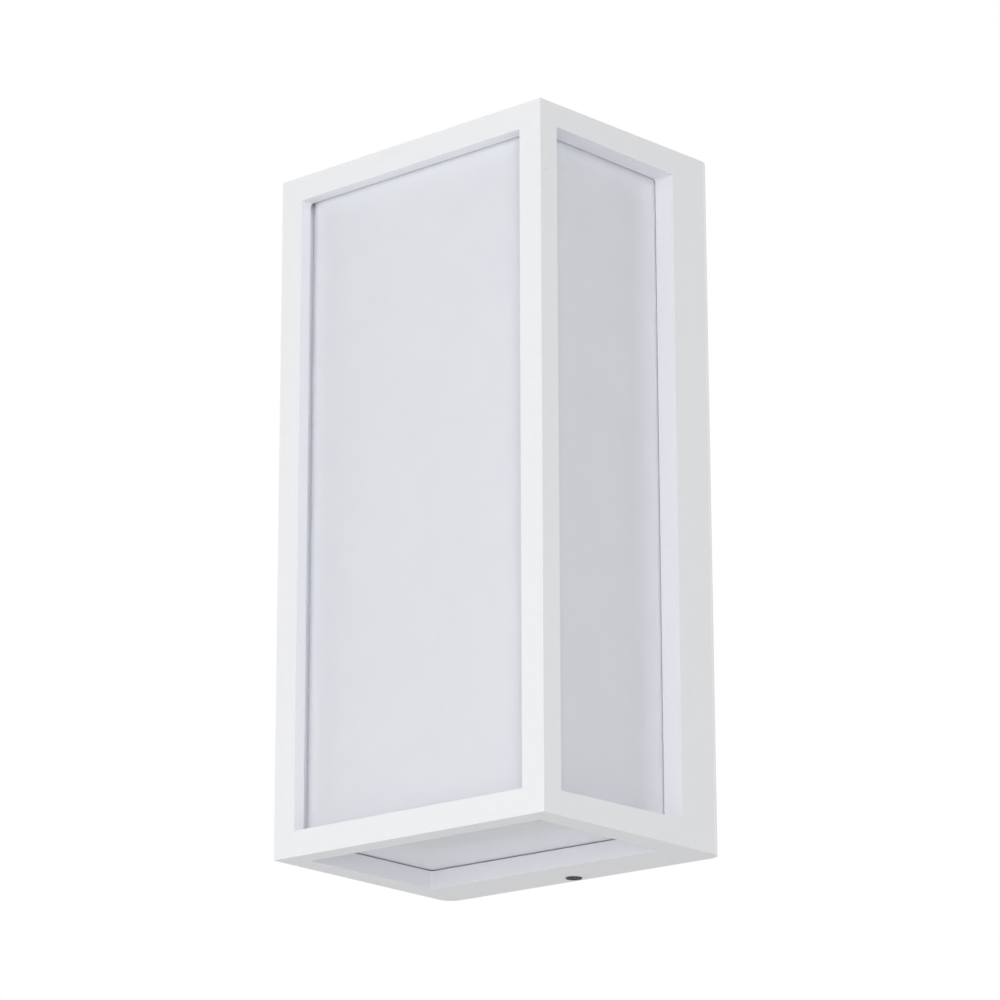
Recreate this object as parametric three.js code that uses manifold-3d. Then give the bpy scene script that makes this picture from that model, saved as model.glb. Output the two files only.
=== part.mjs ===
// Outdoor wall lantern: a cast cage round an opal box, pushed over a wall tray that carries the
// driver and the LED board. Millimetres, +Z up, +X to the right seen from the front, +Y into the
// wall. The origin is the centre of the tray's back face, which lies on the wall.
import * as THREE from 'three';
import { mergeVertices } from 'three/addons/utils/BufferGeometryUtils.js';
import Module from 'manifold-3d';

const wasm = await Module();
wasm.setup();

// ---------- Driving dimensions ----------

const GAP = 0.3; // between pieces that touch
const EPS = 1; // how far a cutter runs past a face

const cage = {
  width: 126.8, // front face
  height: 256.8, // front face
  depth: 95,
  draft: Math.tan(THREE.MathUtils.degToRad(0.96)), // each side widens towards the wall
  wallEdgeRadius: 5.5, // upright edges next to the wall
  frontWall: 5, // depth of the front window's reveal
  sideWall: 8,
  endWall: 6.6, // top and bottom
  cavityRadius: 1,
};
const frontWindow = { barSide: 9.8, barEnd: 9.4 };
const sideWindow = { barFront: 8.7, barWall: 22.6, barEnd: 8.5 };
const bottomWindow = { barSide: 9.6, barFront: 8.8, barWall: 22.1 };
const windowRadius = 0.9;

// The mouth behind the opal box is wider, which leaves a step that its flange is screwed to.
const rebate = { depth: 16, wallLand: 0.8, endWall: 2.6, cornerRadius: 2 };

const opal = { wall: 2.2, endRadius: 2.4, flange: 2 };
const opalCorner = { across: 9, deep: 3.8 }; // quarter ellipse of its upright front edges
const opalScrew = { x: 36, shank: 2.5, head: 4.8, headHeight: 1.7, length: 7.5 };
const stepSeal = { thickness: 1.2 };

const tray = { sheet: 1.5, rim: 9 };
const rimSeal = { width: 1.6, inset: 0.6 }; // inset: from the opal box's outer face
const tab = { width: 24, reach: 10.5 }; // bent forward for the locking screws
const lock = { y: -4.9, shank: 4, head: 5.8, headHeight: 1.9, sink: 1.3 };
const clampBar = { width: 36, depth: 6, height: 2.4 };
const barRib = { width: 3, depth: 9 };

const fixing = { z: 110, width: 5.5, length: 16 }; // level slots for the wall screws
const cableEntry = { z: -50, hole: 20, dome: 34, rise: 3 };
const grommet = { bore: 9, lip: 2.6, lipThickness: 1.6 };

const driver = { width: 42, height: 84, depth: 20, z: 46, wall: 1.8, lid: 2 };
const driverFoot = { width: 12, length: 9, thickness: 2 };
const driverScrew = { shank: 3, head: 5.5, headHeight: 1.8 };
const block = { pitch: 10, z: -18, height: 18, depth: 15, end: 3, mouth: 4.4, mouthDepth: 7.8 };
const blockScrew = { shank: 2.6, head: 3.6, headHeight: 1.6, sunk: 0.5 };
const earth = { x: -34, z: -64, shank: 4, head: 7, headHeight: 2.6, boss: 9, bossHeight: 3 };
const lug = { eye: 9, thickness: 0.8, barrel: 3.2, barrelLength: 8 };

const panel = { width: 98, height: 200, sheet: 1.2, lip: 5, y: -31, cornerRadius: 4 };
const panelNotch = { width: 14, depth: 6 };
const standoff = { x: 40, z: 88, size: 8, threadDepth: 9 };
const panelScrew = { shank: 3, head: 5.5, headHeight: 1.8, length: 6 };
const board = { width: 66, height: 180, thickness: 1.6 };
const boardScrew = { z: 60, shank: 2.5, head: 4.8, headHeight: 1.6 };
const chip = { size: 5, thickness: 0.9, rows: 6, pitchX: 36, pitchZ: 30 };
const connector = { width: 9, height: 6, depth: 5, z: 82 };
const wire = { diameter: 1.8, spacing: 3.6, inBlock: 5, driverStep: 2.5 }; // step: forward of the block

// ---------- Finishes ----------

const finish = (color, roughness, metalness) =>
  new THREE.MeshStandardMaterial({ color, roughness, metalness });
const whitePowderCoat = finish(0xf1f2f4, 0.45, 0);
const opalPlastic = finish(0xe3e4ee, 0.2, 0);
const greyRubber = finish(0x55585c, 0.85, 0);
const blackScrew = finish(0x17181a, 0.4, 0.6);
const zincSteel = finish(0xb8bcc0, 0.35, 0.9);
const whiteSheet = finish(0xf4f5f5, 0.4, 0);
const whitePlastic = finish(0xe8e8e4, 0.5, 0);
const boardMask = finish(0xf6f7f4, 0.35, 0);
const phosphor = finish(0xe8c64a, 0.5, 0);
const brass = finish(0xc7a14f, 0.3, 0.9);
const insulation = {
  brown: finish(0x6b3f22, 0.5, 0),
  blue: finish(0x2a5fa8, 0.5, 0),
  green: finish(0x5f9c2f, 0.5, 0),
  red: finish(0xb3261e, 0.5, 0),
  black: finish(0x1d1d1f, 0.5, 0),
};

// ---------- Shapes ----------

const X = new THREE.Vector3(1, 0, 0);
const Y = new THREE.Vector3(0, 1, 0);
const Z = new THREE.Vector3(0, 0, 1);
const awayFromWall = Y.clone().negate();

// A block between two corners given as [low, high] pairs.
function block3([x0, x1], [y0, y1], [z0, z1]) {
  const g = new THREE.BoxGeometry(x1 - x0, y1 - y0, z1 - z0);
  return g.translate((x0 + x1) / 2, (y0 + y1) / 2, (z0 + z1) / 2);
}

// An outline drawn in a plane and pushed along that plane's normal.
function push(shape, depth, u, v, w, options = {}) {
  const g = new THREE.ExtrudeGeometry(shape, { depth, bevelEnabled: false, curveSegments: 3, ...options });
  return g.applyMatrix4(new THREE.Matrix4().makeBasis(u, v, w));
}

// An outline in X and Z that starts at y and runs forward, away from the wall.
const forward = (shape, y, depth) => push(shape, depth, X, Z, awayFromWall).translate(0, y, 0);

function rectangle(width, height, radius, cx = 0, cy = 0) {
  const s = new THREE.Shape();
  const [w, h] = [width / 2, height / 2];
  const corners = [[1, 1, 0], [-1, 1, 90], [-1, -1, 180], [1, -1, 270]];
  for (const [i, j, start] of corners) {
    const a = THREE.MathUtils.degToRad(start);
    s.absarc(cx + i * (w - radius), cy + j * (h - radius), radius, a, a + Math.PI / 2, false);
  }
  return s;
}

// A disc or rod along a direction, from a point.
function rod(diameter, length, from, direction, sides = 12) {
  const g = new THREE.CylinderGeometry(diameter / 2, diameter / 2, length, sides);
  g.translate(0, length / 2, 0);
  const turn = new THREE.Quaternion().setFromUnitVectors(Y, direction.clone().normalize());
  return g.applyQuaternion(turn).translate(...from);
}

// Moves each point outwards in X and Z in proportion to its distance behind the front face.
function spread(geometry, yFront, slope, alongX = true) {
  const p = geometry.attributes.position;
  for (let i = 0; i < p.count; i++) {
    const shift = slope * (p.getY(i) - yFront);
    if (alongX) p.setX(i, p.getX(i) + Math.sign(p.getX(i)) * shift);
    p.setZ(i, p.getZ(i) + Math.sign(p.getZ(i)) * shift);
  }
  return geometry;
}

// ---------- Joining and cutting ----------

function solid(geometry) {
  const bare = geometry.clone();
  bare.deleteAttribute('normal');
  bare.deleteAttribute('uv');
  const merged = mergeVertices(bare, 1e-4);
  return new wasm.Manifold(new wasm.Mesh({
    numProp: 3,
    vertProperties: merged.attributes.position.array,
    triVerts: new Uint32Array(merged.index.array),
  }));
}

function geometryOf(body) {
  const mesh = body.getMesh();
  const g = new THREE.BufferGeometry();
  g.setAttribute('position', new THREE.BufferAttribute(mesh.vertProperties, 3));
  g.setIndex(new THREE.BufferAttribute(mesh.triVerts, 1));
  const faceted = g.toNonIndexed();
  faceted.computeVertexNormals();
  return faceted;
}

const cut = (base, ...tools) => geometryOf(tools.reduce((body, t) => body.subtract(solid(t)), solid(base)));
const join = (base, ...more) => geometryOf(more.reduce((body, m) => body.add(solid(m)), solid(base)));

const part = new THREE.Group();
part.name = 'outdoor_wall_lantern';

function add(name, geometry, material) {
  const mesh = new THREE.Mesh(geometry, material);
  mesh.name = name;
  part.add(mesh);
}

// ---------- Screws ----------

// A pan-head screw: a domed head on a plain shank, with a cross recess. It stands at the seat of
// its head; along points from the seat to the tip.
function panScrew({ shank, head, headHeight, length, sides = 10 }, seat, along) {
  const dome = headHeight * 0.45; // height of the curved crown above the straight rim
  const crown = new THREE.EllipseCurve(0, headHeight - dome, head / 2, dome, 0, Math.PI / 2);
  const profile = [
    new THREE.Vector2(0, -length),
    new THREE.Vector2(shank / 2, -length),
    new THREE.Vector2(shank / 2, 0),
    new THREE.Vector2(head / 2, 0),
    ...crown.getPoints(sides / 5),
  ];
  profile[profile.length - 1].setX(0);
  const body = new THREE.LatheGeometry(profile, sides);
  const arm = head * 0.5;
  const slot = head * 0.16;
  const sink = headHeight * 0.6;
  const recess = [[arm, slot], [slot, arm]].map(([a, b]) => block3(
    [-a / 2, a / 2],
    [headHeight - sink, headHeight + EPS],
    [-b / 2, b / 2],
  ));
  const turn = new THREE.Quaternion().setFromUnitVectors(awayFromWall, along.clone().normalize());
  return cut(body, ...recess).applyQuaternion(turn).translate(...seat);
}

// ---------- Lantern body: cage, opal box and what holds it ----------

const yFront = -cage.depth;
const widthAt = (y) => cage.width + 2 * cage.draft * (y - yFront);
const heightAt = (y) => cage.height + 2 * cage.draft * (y - yFront);
const wallWidth = widthAt(0);
const wallHeight = heightAt(0);

// Plan view of the cage: square front corners, rounded corners at the wall.
function cagePlan() {
  const [front, wall, r] = [cage.width / 2, wallWidth / 2, cage.wallEdgeRadius];
  const s = new THREE.Shape();
  s.moveTo(-front, yFront);
  s.lineTo(front, yFront);
  s.absarc(wall - r, -r, r, 0, Math.PI / 2, false);
  s.absarc(-wall + r, -r, r, Math.PI / 2, Math.PI, false);
  return s;
}

const rebateWidth = wallWidth - 2 * (cage.wallEdgeRadius + rebate.wallLand);
const rebateHeight = wallHeight - 2 * rebate.endWall;
const clampBarGap = GAP + tray.sheet + GAP; // the tray's tab slides between the cage and the bar
const clampBarZ = rebateHeight / 2 - clampBarGap; // face of the bar next to the tab
const lockSeat = heightAt(lock.y) / 2 - lock.sink; // underside of the screw head
const ends = { top: 1, bottom: -1 };

const flangeFront = -rebate.depth + GAP + stepSeal.thickness + GAP; // face towards the step
const flangeBack = flangeFront + opal.flange;
const opalScrewSeat = flangeBack + GAP;
const opalScrewHoleEnd = opalScrewSeat - opalScrew.length - EPS; // stops short of the bottom window

function cageBody() {
  const outer = push(cagePlan(), cage.height, X, Y, Z).translate(0, 0, -cage.height / 2);
  spread(outer, yFront, cage.draft, false);

  const inside = rectangle(
    cage.width - 2 * cage.sideWall,
    cage.height - 2 * cage.endWall,
    cage.cavityRadius,
  );
  const cavity = forward(inside, EPS, cage.depth - cage.frontWall + EPS);
  spread(cavity, yFront, cage.draft);
  const mouth = forward(rectangle(rebateWidth, rebateHeight, rebate.cornerRadius), EPS, rebate.depth + EPS);

  const frontHole = rectangle(
    cage.width - 2 * frontWindow.barSide,
    cage.height - 2 * frontWindow.barEnd,
    windowRadius,
  );
  const sideHole = rectangle(
    cage.depth - sideWindow.barFront - sideWindow.barWall,
    cage.height - 2 * sideWindow.barEnd,
    windowRadius,
    yFront + (cage.depth + sideWindow.barFront - sideWindow.barWall) / 2,
  );
  const bottomHole = rectangle(
    cage.width - 2 * bottomWindow.barSide,
    cage.depth - bottomWindow.barFront - bottomWindow.barWall,
    windowRadius,
    0,
    yFront + (cage.depth + bottomWindow.barFront - bottomWindow.barWall) / 2,
  );
  const windows = [
    forward(frontHole, yFront + cage.frontWall + EPS, cage.frontWall + 2 * EPS),
    push(sideHole, wallWidth + 2 * EPS, Y, Z, X).translate(-wallWidth / 2 - EPS, 0, 0),
    push(bottomHole, cage.height / 2 + EPS, X, Y, Z).translate(0, 0, -wallHeight / 2 - EPS),
  ];

  const lockHoles = Object.values(ends).flatMap((end) => {
    const outward = Z.clone().multiplyScalar(end);
    const wallInside = end * (rebateHeight / 2 - EPS);
    const seat = end * (lockSeat - GAP);
    return [
      rod(lock.shank + 2 * GAP, rebate.endWall + 2 * EPS, [0, lock.y, wallInside], outward),
      rod(lock.head + 2 * GAP, lock.sink + 2 * GAP, [0, lock.y, seat], outward),
    ];
  });
  const screwHoles = opalScrewPlaces().flatMap(([x, z]) => [
    rod(opalScrew.shank + 2 * GAP, EPS - opalScrewHoleEnd, [x, EPS, z], awayFromWall),
    rod(opalScrew.head + 2 * GAP, rebate.depth + EPS, [x, EPS, z], awayFromWall),
  ]);
  return cut(outer, cavity, mouth, ...windows, ...lockHoles, ...screwHoles);
}

// The opal box's screws stand in the middle of the step above and below it.
function opalScrewPlaces() {
  const passage = heightAt(-rebate.depth) / 2 - cage.endWall;
  const z = (passage + rebateHeight / 2) / 2;
  return [[-1, 1], [1, 1], [-1, -1], [1, -1]].map(([i, j]) => [i * opalScrew.x, j * z]);
}

// Two cast ribs beside each clamp bar keep it from turning with its screw.
function barRibs() {
  const x = clampBar.width / 2 + GAP;
  const ribs = [];
  for (const end of Object.values(ends)) {
    for (const side of [-1, 1]) {
      const low = clampBarZ - clampBar.height;
      ribs.push(block3(
        [side * x, side * (x + barRib.width)].sort((a, b) => a - b),
        [lock.y - barRib.depth / 2, lock.y + barRib.depth / 2],
        [end * low, end * (rebateHeight / 2 + EPS)].sort((a, b) => a - b),
      ));
    }
  }
  return ribs;
}

add('lantern_frame', join(cageBody(), ...barRibs()), whitePowderCoat);

const flangeWidth = rebateWidth - 2 * GAP;
const flangeHeight = rebateHeight - 2 * GAP;
const flangeRadius = rebate.cornerRadius - GAP;
const opalWidthAt = (y) => widthAt(y) - 2 * (cage.sideWall + GAP);
const opalHeightAt = (y) => heightAt(y) - 2 * (cage.endWall + GAP);
const opalFront = yFront + cage.frontWall + GAP;

// The opal box, or its hollow when it is drawn smaller by the wall. Its upright front edges are
// quarter ellipses and its end plates have a small radius. It runs on past the flange.
function roundedBox(inset) {
  const across = opalCorner.across - inset;
  const deep = opalCorner.deep - inset;
  const edge = opal.endRadius - inset;
  const x = opalWidthAt(yFront) / 2 - inset;
  const y0 = opalFront + inset;
  const past = flangeBack + opal.endRadius + EPS;
  const plan = new THREE.Shape();
  plan.moveTo(x, past);
  plan.lineTo(-x, past);
  plan.absellipse(-x + across, y0 + deep, across, deep, Math.PI, 1.5 * Math.PI, false);
  plan.absellipse(x - across, y0 + deep, across, deep, 1.5 * Math.PI, 2 * Math.PI, false);
  const straight = opalHeightAt(yFront) - 2 * (inset + edge);
  const g = push(plan, straight, X, Y, Z, {
    bevelEnabled: true,
    bevelSize: edge,
    bevelOffset: -edge,
    bevelThickness: edge,
    bevelSegments: 3,
    curveSegments: 4,
  });
  return spread(g.translate(0, 0, -straight / 2), yFront, cage.draft);
}

function opalBox() {
  const far = Math.max(wallWidth, wallHeight);
  const behind = block3([-far, far], [flangeBack, flangeBack + far], [-far, far]);
  const screws = opalScrewPlaces().map(([x, z]) => rod(
    opalScrew.shank + 2 * GAP,
    opal.flange + 2 * EPS,
    [x, flangeBack + EPS, z],
    awayFromWall,
  ));
  const flange = forward(rectangle(flangeWidth, flangeHeight, flangeRadius), flangeBack, opal.flange);
  return cut(join(roundedBox(0), flange), roundedBox(opal.wall), behind, ...screws);
}

add('diffuser', opalBox(), opalPlastic);

// A ring between two outlines, with holes for the opal box's screws where it reaches them.
function flatSeal(yBack, thickness, outer, inner) {
  const holes = opalScrewPlaces().map(([x, z]) => rod(
    opalScrew.shank + 2 * GAP,
    thickness + 2 * EPS,
    [x, yBack + EPS, z],
    awayFromWall,
  ));
  return cut(forward(outer, yBack, thickness), forward(inner, yBack + EPS, thickness + 2 * EPS), ...holes);
}

const stepSealBack = flangeFront - GAP;
const stepSealHole = rectangle(
  opalWidthAt(stepSealBack) + 2 * GAP,
  opalHeightAt(stepSealBack) + 2 * GAP,
  opal.endRadius + GAP,
);
add('diffuser_seal', flatSeal(
  stepSealBack,
  stepSeal.thickness,
  rectangle(flangeWidth, flangeHeight, flangeRadius),
  stepSealHole,
), greyRubber);

opalScrewPlaces().forEach(([x, z], i) => {
  add(`diffuser_screw_${i + 1}`, panScrew(opalScrew, [x, opalScrewSeat, z], awayFromWall), zincSteel);
});

for (const [name, end] of Object.entries(ends)) {
  const inward = Z.clone().multiplyScalar(-end);
  const barFar = clampBarZ - clampBar.height;
  const screw = { ...lock, length: lockSeat - barFar, sides: 20 };
  add(`lock_screw_${name}`, panScrew(screw, [0, lock.y, end * lockSeat], inward), blackScrew);

  const bar = block3(
    [-clampBar.width / 2, clampBar.width / 2],
    [lock.y - clampBar.depth / 2, lock.y + clampBar.depth / 2],
    [end * barFar, end * clampBarZ].sort((a, b) => a - b),
  );
  const threadStart = [0, lock.y, end * (clampBarZ + EPS)];
  const thread = rod(lock.shank + 2 * GAP, clampBar.height + 2 * EPS, threadStart, inward);
  add(`clamp_bar_${name}`, cut(bar, thread), zincSteel);
}

// ---------- Wall tray ----------

const rimWidth = opalWidthAt(flangeBack) - 2 * rimSeal.inset;
const rimHeight = opalHeightAt(flangeBack) - 2 * rimSeal.inset;
const rimRadius = opal.endRadius - rimSeal.inset;
const rimOutline = (inset) => rectangle(rimWidth - 2 * inset, rimHeight - 2 * inset, rimRadius - inset);
const floor = -tray.sheet; // front face of the tray's sheet

// The tab stands outside the rim, between the cage and the clamp bar. Its slot is open at the
// front, so that the cage pulls off with its screws only loosened.
function trayTab(end) {
  const outer = rebateHeight / 2 - GAP;
  const x = [-tab.width / 2, tab.width / 2];
  const range = (a, b) => [end * a, end * b].sort((p, q) => p - q);
  const root = block3(x, [floor, 0], range(rimHeight / 2 - tray.sheet, outer));
  const leg = block3(x, [-tab.reach, 0], range(outer - tray.sheet, outer));
  const slotWidth = lock.shank + 2 * GAP;
  const through = [outer - tray.sheet - EPS, outer + EPS];
  const slot = block3([-slotWidth / 2, slotWidth / 2], [-tab.reach - EPS, lock.y], range(...through));
  const outward = Z.clone().multiplyScalar(end);
  const round = rod(slotWidth, through[1] - through[0], [0, lock.y, end * through[0]], outward);
  return cut(join(root, leg), slot, round);
}

function wallTray() {
  const dish = cut(forward(rimOutline(0), 0, tray.rim), forward(rimOutline(tray.sheet), floor, tray.rim));
  const domeFront = floor - cableEntry.rise;
  const dome = rod(cableEntry.dome, -domeFront, [0, 0, cableEntry.z], awayFromWall, 28);
  const earthBoss = rod(earth.boss, earth.bossHeight - floor, [earth.x, 0, earth.z], awayFromWall);
  const body = join(dish, dome, earthBoss, ...Object.values(ends).map(trayTab));

  const entry = [0, EPS, cableEntry.z];
  const under = rod(cableEntry.dome - 2 * tray.sheet, cableEntry.rise + EPS, entry, awayFromWall, 28);
  const hole = rod(cableEntry.hole, EPS - domeFront + EPS, entry, awayFromWall, 24);
  const earthHole = rod(
    earth.shank + 2 * GAP,
    2 * EPS + earth.bossHeight - floor,
    [earth.x, EPS, earth.z],
    awayFromWall,
  );
  const slots = Object.values(ends).map((end) => forward(
    rectangle(fixing.length, fixing.width, fixing.width / 2 - 0.01, 0, end * fixing.z),
    EPS,
    tray.sheet + 2 * EPS,
  ));
  const footHoles = driverFootPlaces().map((z) => rod(
    driverScrew.shank + 2 * GAP,
    tray.sheet + 2 * EPS,
    [0, EPS, z],
    awayFromWall,
  ));
  return cut(body, under, hole, earthHole, ...slots, ...footHoles);
}

const driverBottom = driver.z - driver.height / 2;
const driverTop = driver.z + driver.height / 2;

function driverFootPlaces() {
  return [driverBottom - driverFoot.length / 2, driverTop + driverFoot.length / 2];
}

add('wall_tray', wallTray(), whiteSheet);

const rimSealFront = flangeBack + GAP;
const rimSealThickness = -tray.rim - GAP - rimSealFront;
add('rim_seal', cut(
  forward(rimOutline(0), rimSealFront + rimSealThickness, rimSealThickness),
  forward(rimOutline(rimSeal.width), rimSealFront + rimSealThickness + EPS, rimSealThickness + 2 * EPS),
), greyRubber);

// The grommet snaps into the raised hole: a lip on each side of the sheet and a bore for the cable.
function cableGrommet() {
  const neck = cableEntry.hole / 2 - GAP;
  const lip = cableEntry.hole / 2 + grommet.lip;
  const back = GAP; // measured forwards from the back face of the raised sheet
  const front = tray.sheet + GAP;
  const bore = grommet.bore / 2;
  const profile = [
    [bore, -back - grommet.lipThickness],
    [lip, -back - grommet.lipThickness],
    [lip, -back],
    [neck, -back],
    [neck, front],
    [lip, front],
    [bore + 1, front + grommet.lipThickness],
    [bore, front + grommet.lipThickness],
    [bore, -back - grommet.lipThickness],
  ].map(([r, h]) => new THREE.Vector2(r, h));
  const g = new THREE.LatheGeometry(profile, 24);
  const turn = new THREE.Quaternion().setFromUnitVectors(Y, awayFromWall);
  return g.applyQuaternion(turn).translate(0, -cableEntry.rise, cableEntry.z);
}

add('cable_grommet', cableGrommet(), greyRubber);

// ---------- Driver ----------

const driverBack = floor - GAP;
const driverRim = driverBack - driver.depth + driver.lid + GAP; // where the lid rests

function driverCase() {
  const [w, h] = [driver.width / 2, driver.height / 2];
  const box = block3([-w, w], [driverRim, driverBack], [driver.z - h, driver.z + h]);
  const t = driver.wall;
  const inside = block3(
    [t - w, w - t],
    [driverRim - EPS, driverBack - t],
    [driver.z - h + t, driver.z + h - t],
  );
  const footRanges = [
    [driverBottom - driverFoot.length, driverBottom + t / 2],
    [driverTop - t / 2, driverTop + driverFoot.length],
  ];
  const feet = footRanges.map((range) => block3(
    [-driverFoot.width / 2, driverFoot.width / 2],
    [driverBack - driverFoot.thickness, driverBack],
    range,
  ));
  const holes = driverFootPlaces().map((z) => rod(
    driverScrew.shank + 2 * GAP,
    driverFoot.thickness + 2 * EPS,
    [0, driverBack + EPS, z],
    awayFromWall,
  ));
  return cut(join(cut(box, inside), ...feet), ...holes);
}

add('driver_case', driverCase(), whitePlastic);
add('driver_lid', block3(
  [-driver.width / 2, driver.width / 2],
  [driverRim - GAP - driver.lid, driverRim - GAP],
  [driverBottom, driverTop],
), whitePlastic);

const footFront = driverBack - driverFoot.thickness - GAP;
const driverScrewLength = -footFront - GAP; // its tip stays short of the wall
driverFootPlaces().forEach((z, i) => {
  const size = { ...driverScrew, length: driverScrewLength };
  add(`driver_screw_${i + 1}`, panScrew(size, [0, footFront, z], Y), zincSteel);
});

// ---------- Terminal block and earth ----------

const poles = { earth: -1, neutral: 0, live: 1 };
const blockFront = driverBack - block.depth;
const mouthY = driverBack - block.mouthDepth; // centre line of the wire mouths
const blockTop = block.z + block.height / 2;

function terminalBlock() {
  const half = (Object.keys(poles).length * block.pitch) / 2 + block.end;
  const blockBottom = blockTop - block.height;
  const body = block3([-half, half], [blockFront, driverBack], [blockBottom, blockTop]);
  const holes = Object.values(poles).flatMap((i) => {
    const x = i * block.pitch;
    return [
      rod(block.mouth, block.height + 2 * EPS, [x, mouthY, blockBottom - EPS], Z),
      rod(blockScrew.head + 2 * GAP, mouthY - blockFront + EPS, [x, mouthY, block.z], awayFromWall),
    ];
  });
  return cut(body, ...holes);
}

add('terminal_block', terminalBlock(), whitePlastic);

// Each screw's tip clamps its wire in the mouth.
const blockScrewSeat = blockFront + blockScrew.sunk + blockScrew.headHeight;
const blockScrewLength = mouthY - wire.diameter / 2 - GAP - blockScrewSeat;
for (const [name, i] of Object.entries(poles)) {
  const size = { ...blockScrew, length: blockScrewLength };
  add(`terminal_screw_${name}`, panScrew(size, [i * block.pitch, blockScrewSeat, block.z], Y), brass);
}

const bossFront = floor - earth.bossHeight;
const lugBack = bossFront - GAP;
const lugFront = lugBack - lug.thickness;
const barrelY = lugFront - lug.barrel / 2 + lug.thickness;
const barrelStart = earth.z + lug.eye / 2 - 1;

function earthLug() {
  const eye = rod(lug.eye, lug.thickness, [earth.x, lugBack, earth.z], awayFromWall);
  const barrel = rod(lug.barrel, lug.barrelLength, [earth.x, barrelY, barrelStart], Z, 10);
  const boreStart = [earth.x, lugBack + EPS, earth.z];
  const bore = rod(earth.shank + 2 * GAP, lug.barrel + 2 * EPS, boreStart, awayFromWall);
  const headRoom = rod(earth.head + 2 * GAP, lug.barrel + EPS, [earth.x, lugFront, earth.z], awayFromWall);
  return cut(join(eye, barrel), bore, headRoom);
}

add('earth_lug', earthLug(), brass);
add('earth_screw', panScrew(
  { ...earth, length: -(lugFront - GAP) - GAP },
  [earth.x, lugFront - GAP, earth.z],
  Y,
), brass);

// ---------- LED panel ----------

const corners = [[-1, 1], [1, 1], [-1, -1], [1, -1]];
const panelFront = panel.y - panel.sheet;
const boardFront = panelFront - GAP - board.thickness;

function ledPanel() {
  const [w, h] = [panel.width / 2, panel.height / 2];
  const sheet = forward(rectangle(panel.width, panel.height, panel.cornerRadius), panel.y, panel.sheet);
  const straight = h - panel.cornerRadius;
  const lips = [-1, 1].map((side) => block3(
    [side * w, side * (w - panel.sheet)].sort((a, b) => a - b),
    [panel.y - panel.sheet / 2, panel.y + panel.lip],
    [-straight, straight],
  ));
  const notch = block3(
    [-panelNotch.width / 2, panelNotch.width / 2],
    [panelFront - EPS, panel.y + EPS],
    [h - panelNotch.depth, h + EPS],
  );
  const through = (diameter, x, z) => rod(
    diameter + 2 * GAP,
    panel.sheet + 2 * EPS,
    [x, panel.y + EPS, z],
    awayFromWall,
  );
  const holes = [
    ...corners.map(([i, j]) => through(panelScrew.shank, i * standoff.x, j * standoff.z)),
    ...Object.values(ends).map((end) => through(boardScrew.shank, 0, end * boardScrew.z)),
  ];
  return cut(join(sheet, ...lips), notch, ...holes);
}

add('led_panel', ledPanel(), whiteSheet);

corners.forEach(([i, j], n) => {
  const [x, z] = [i * standoff.x, j * standoff.z];
  const pillar = rod(standoff.size, driverBack - panel.y - GAP, [x, driverBack, z], awayFromWall, 6);
  const thread = rod(panelScrew.shank + 2 * GAP, standoff.threadDepth + EPS, [x, panel.y - EPS, z], Y);
  add(`standoff_${n + 1}`, cut(pillar, thread), zincSteel);
  add(`panel_screw_${n + 1}`, panScrew(panelScrew, [x, panelFront - GAP, z], Y), zincSteel);
});

function ledBoard() {
  const sheet = forward(rectangle(board.width, board.height, 2), panelFront - GAP, board.thickness);
  const holes = Object.values(ends).map((end) => rod(
    boardScrew.shank + 2 * GAP,
    board.thickness + 2 * EPS,
    [0, panelFront - GAP + EPS, end * boardScrew.z],
    awayFromWall,
  ));
  return cut(sheet, ...holes);
}

add('led_board', ledBoard(), boardMask);
for (const [name, end] of Object.entries(ends)) {
  const size = { ...boardScrew, length: panel.y - boardFront + GAP };
  add(`board_screw_${name}`, panScrew(size, [0, boardFront - GAP, end * boardScrew.z], Y), zincSteel);
}

// Two columns of light-emitting diodes, numbered along each row from the top left.
let chipNumber = 0;
for (let row = 0; row < chip.rows; row++) {
  const z = ((chip.rows - 1) / 2 - row) * chip.pitchZ;
  for (const side of [-1, 1]) {
    const x = (side * chip.pitchX) / 2;
    chipNumber += 1;
    add(`led_chip_${String(chipNumber).padStart(2, '0')}`, block3(
      [x - chip.size / 2, x + chip.size / 2],
      [boardFront - GAP - chip.thickness, boardFront - GAP],
      [z - chip.size / 2, z + chip.size / 2],
    ), phosphor);
  }
}

const connectorBack = boardFront - GAP;
add('led_connector', block3(
  [-connector.width / 2, connector.width / 2],
  [connectorBack - connector.depth, connectorBack],
  [connector.z - connector.height / 2, connector.z + connector.height / 2],
), whitePlastic);

// ---------- Internal wires ----------

function wireAlong(points) {
  const curve = new THREE.CatmullRomCurve3(points.map((p) => new THREE.Vector3(...p)));
  const section = new THREE.Shape().absarc(0, 0, wire.diameter / 2, 0, 2 * Math.PI, false);
  return new THREE.ExtrudeGeometry(section, {
    extrudePath: curve,
    steps: Math.round(curve.getLength() / (3 * wire.diameter)) + 6,
    curveSegments: 4,
    bevelEnabled: false,
  });
}

const mouthEnd = blockTop - wire.inBlock;
const supplyY = mouthY - wire.driverStep;
for (const [name, pole, colour] of [['neutral', poles.neutral, 'blue'], ['live', poles.live, 'brown']]) {
  const x = pole * block.pitch;
  add(`${name}_wire`, wireAlong([
    [x, mouthY, mouthEnd],
    [x, mouthY, blockTop + 2],
    [x, (mouthY + supplyY) / 2, (blockTop + driverBottom) / 2],
    [x, supplyY, driverBottom - 2],
    [x, supplyY, driverBottom - GAP],
  ]), insulation[colour]);
}

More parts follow.
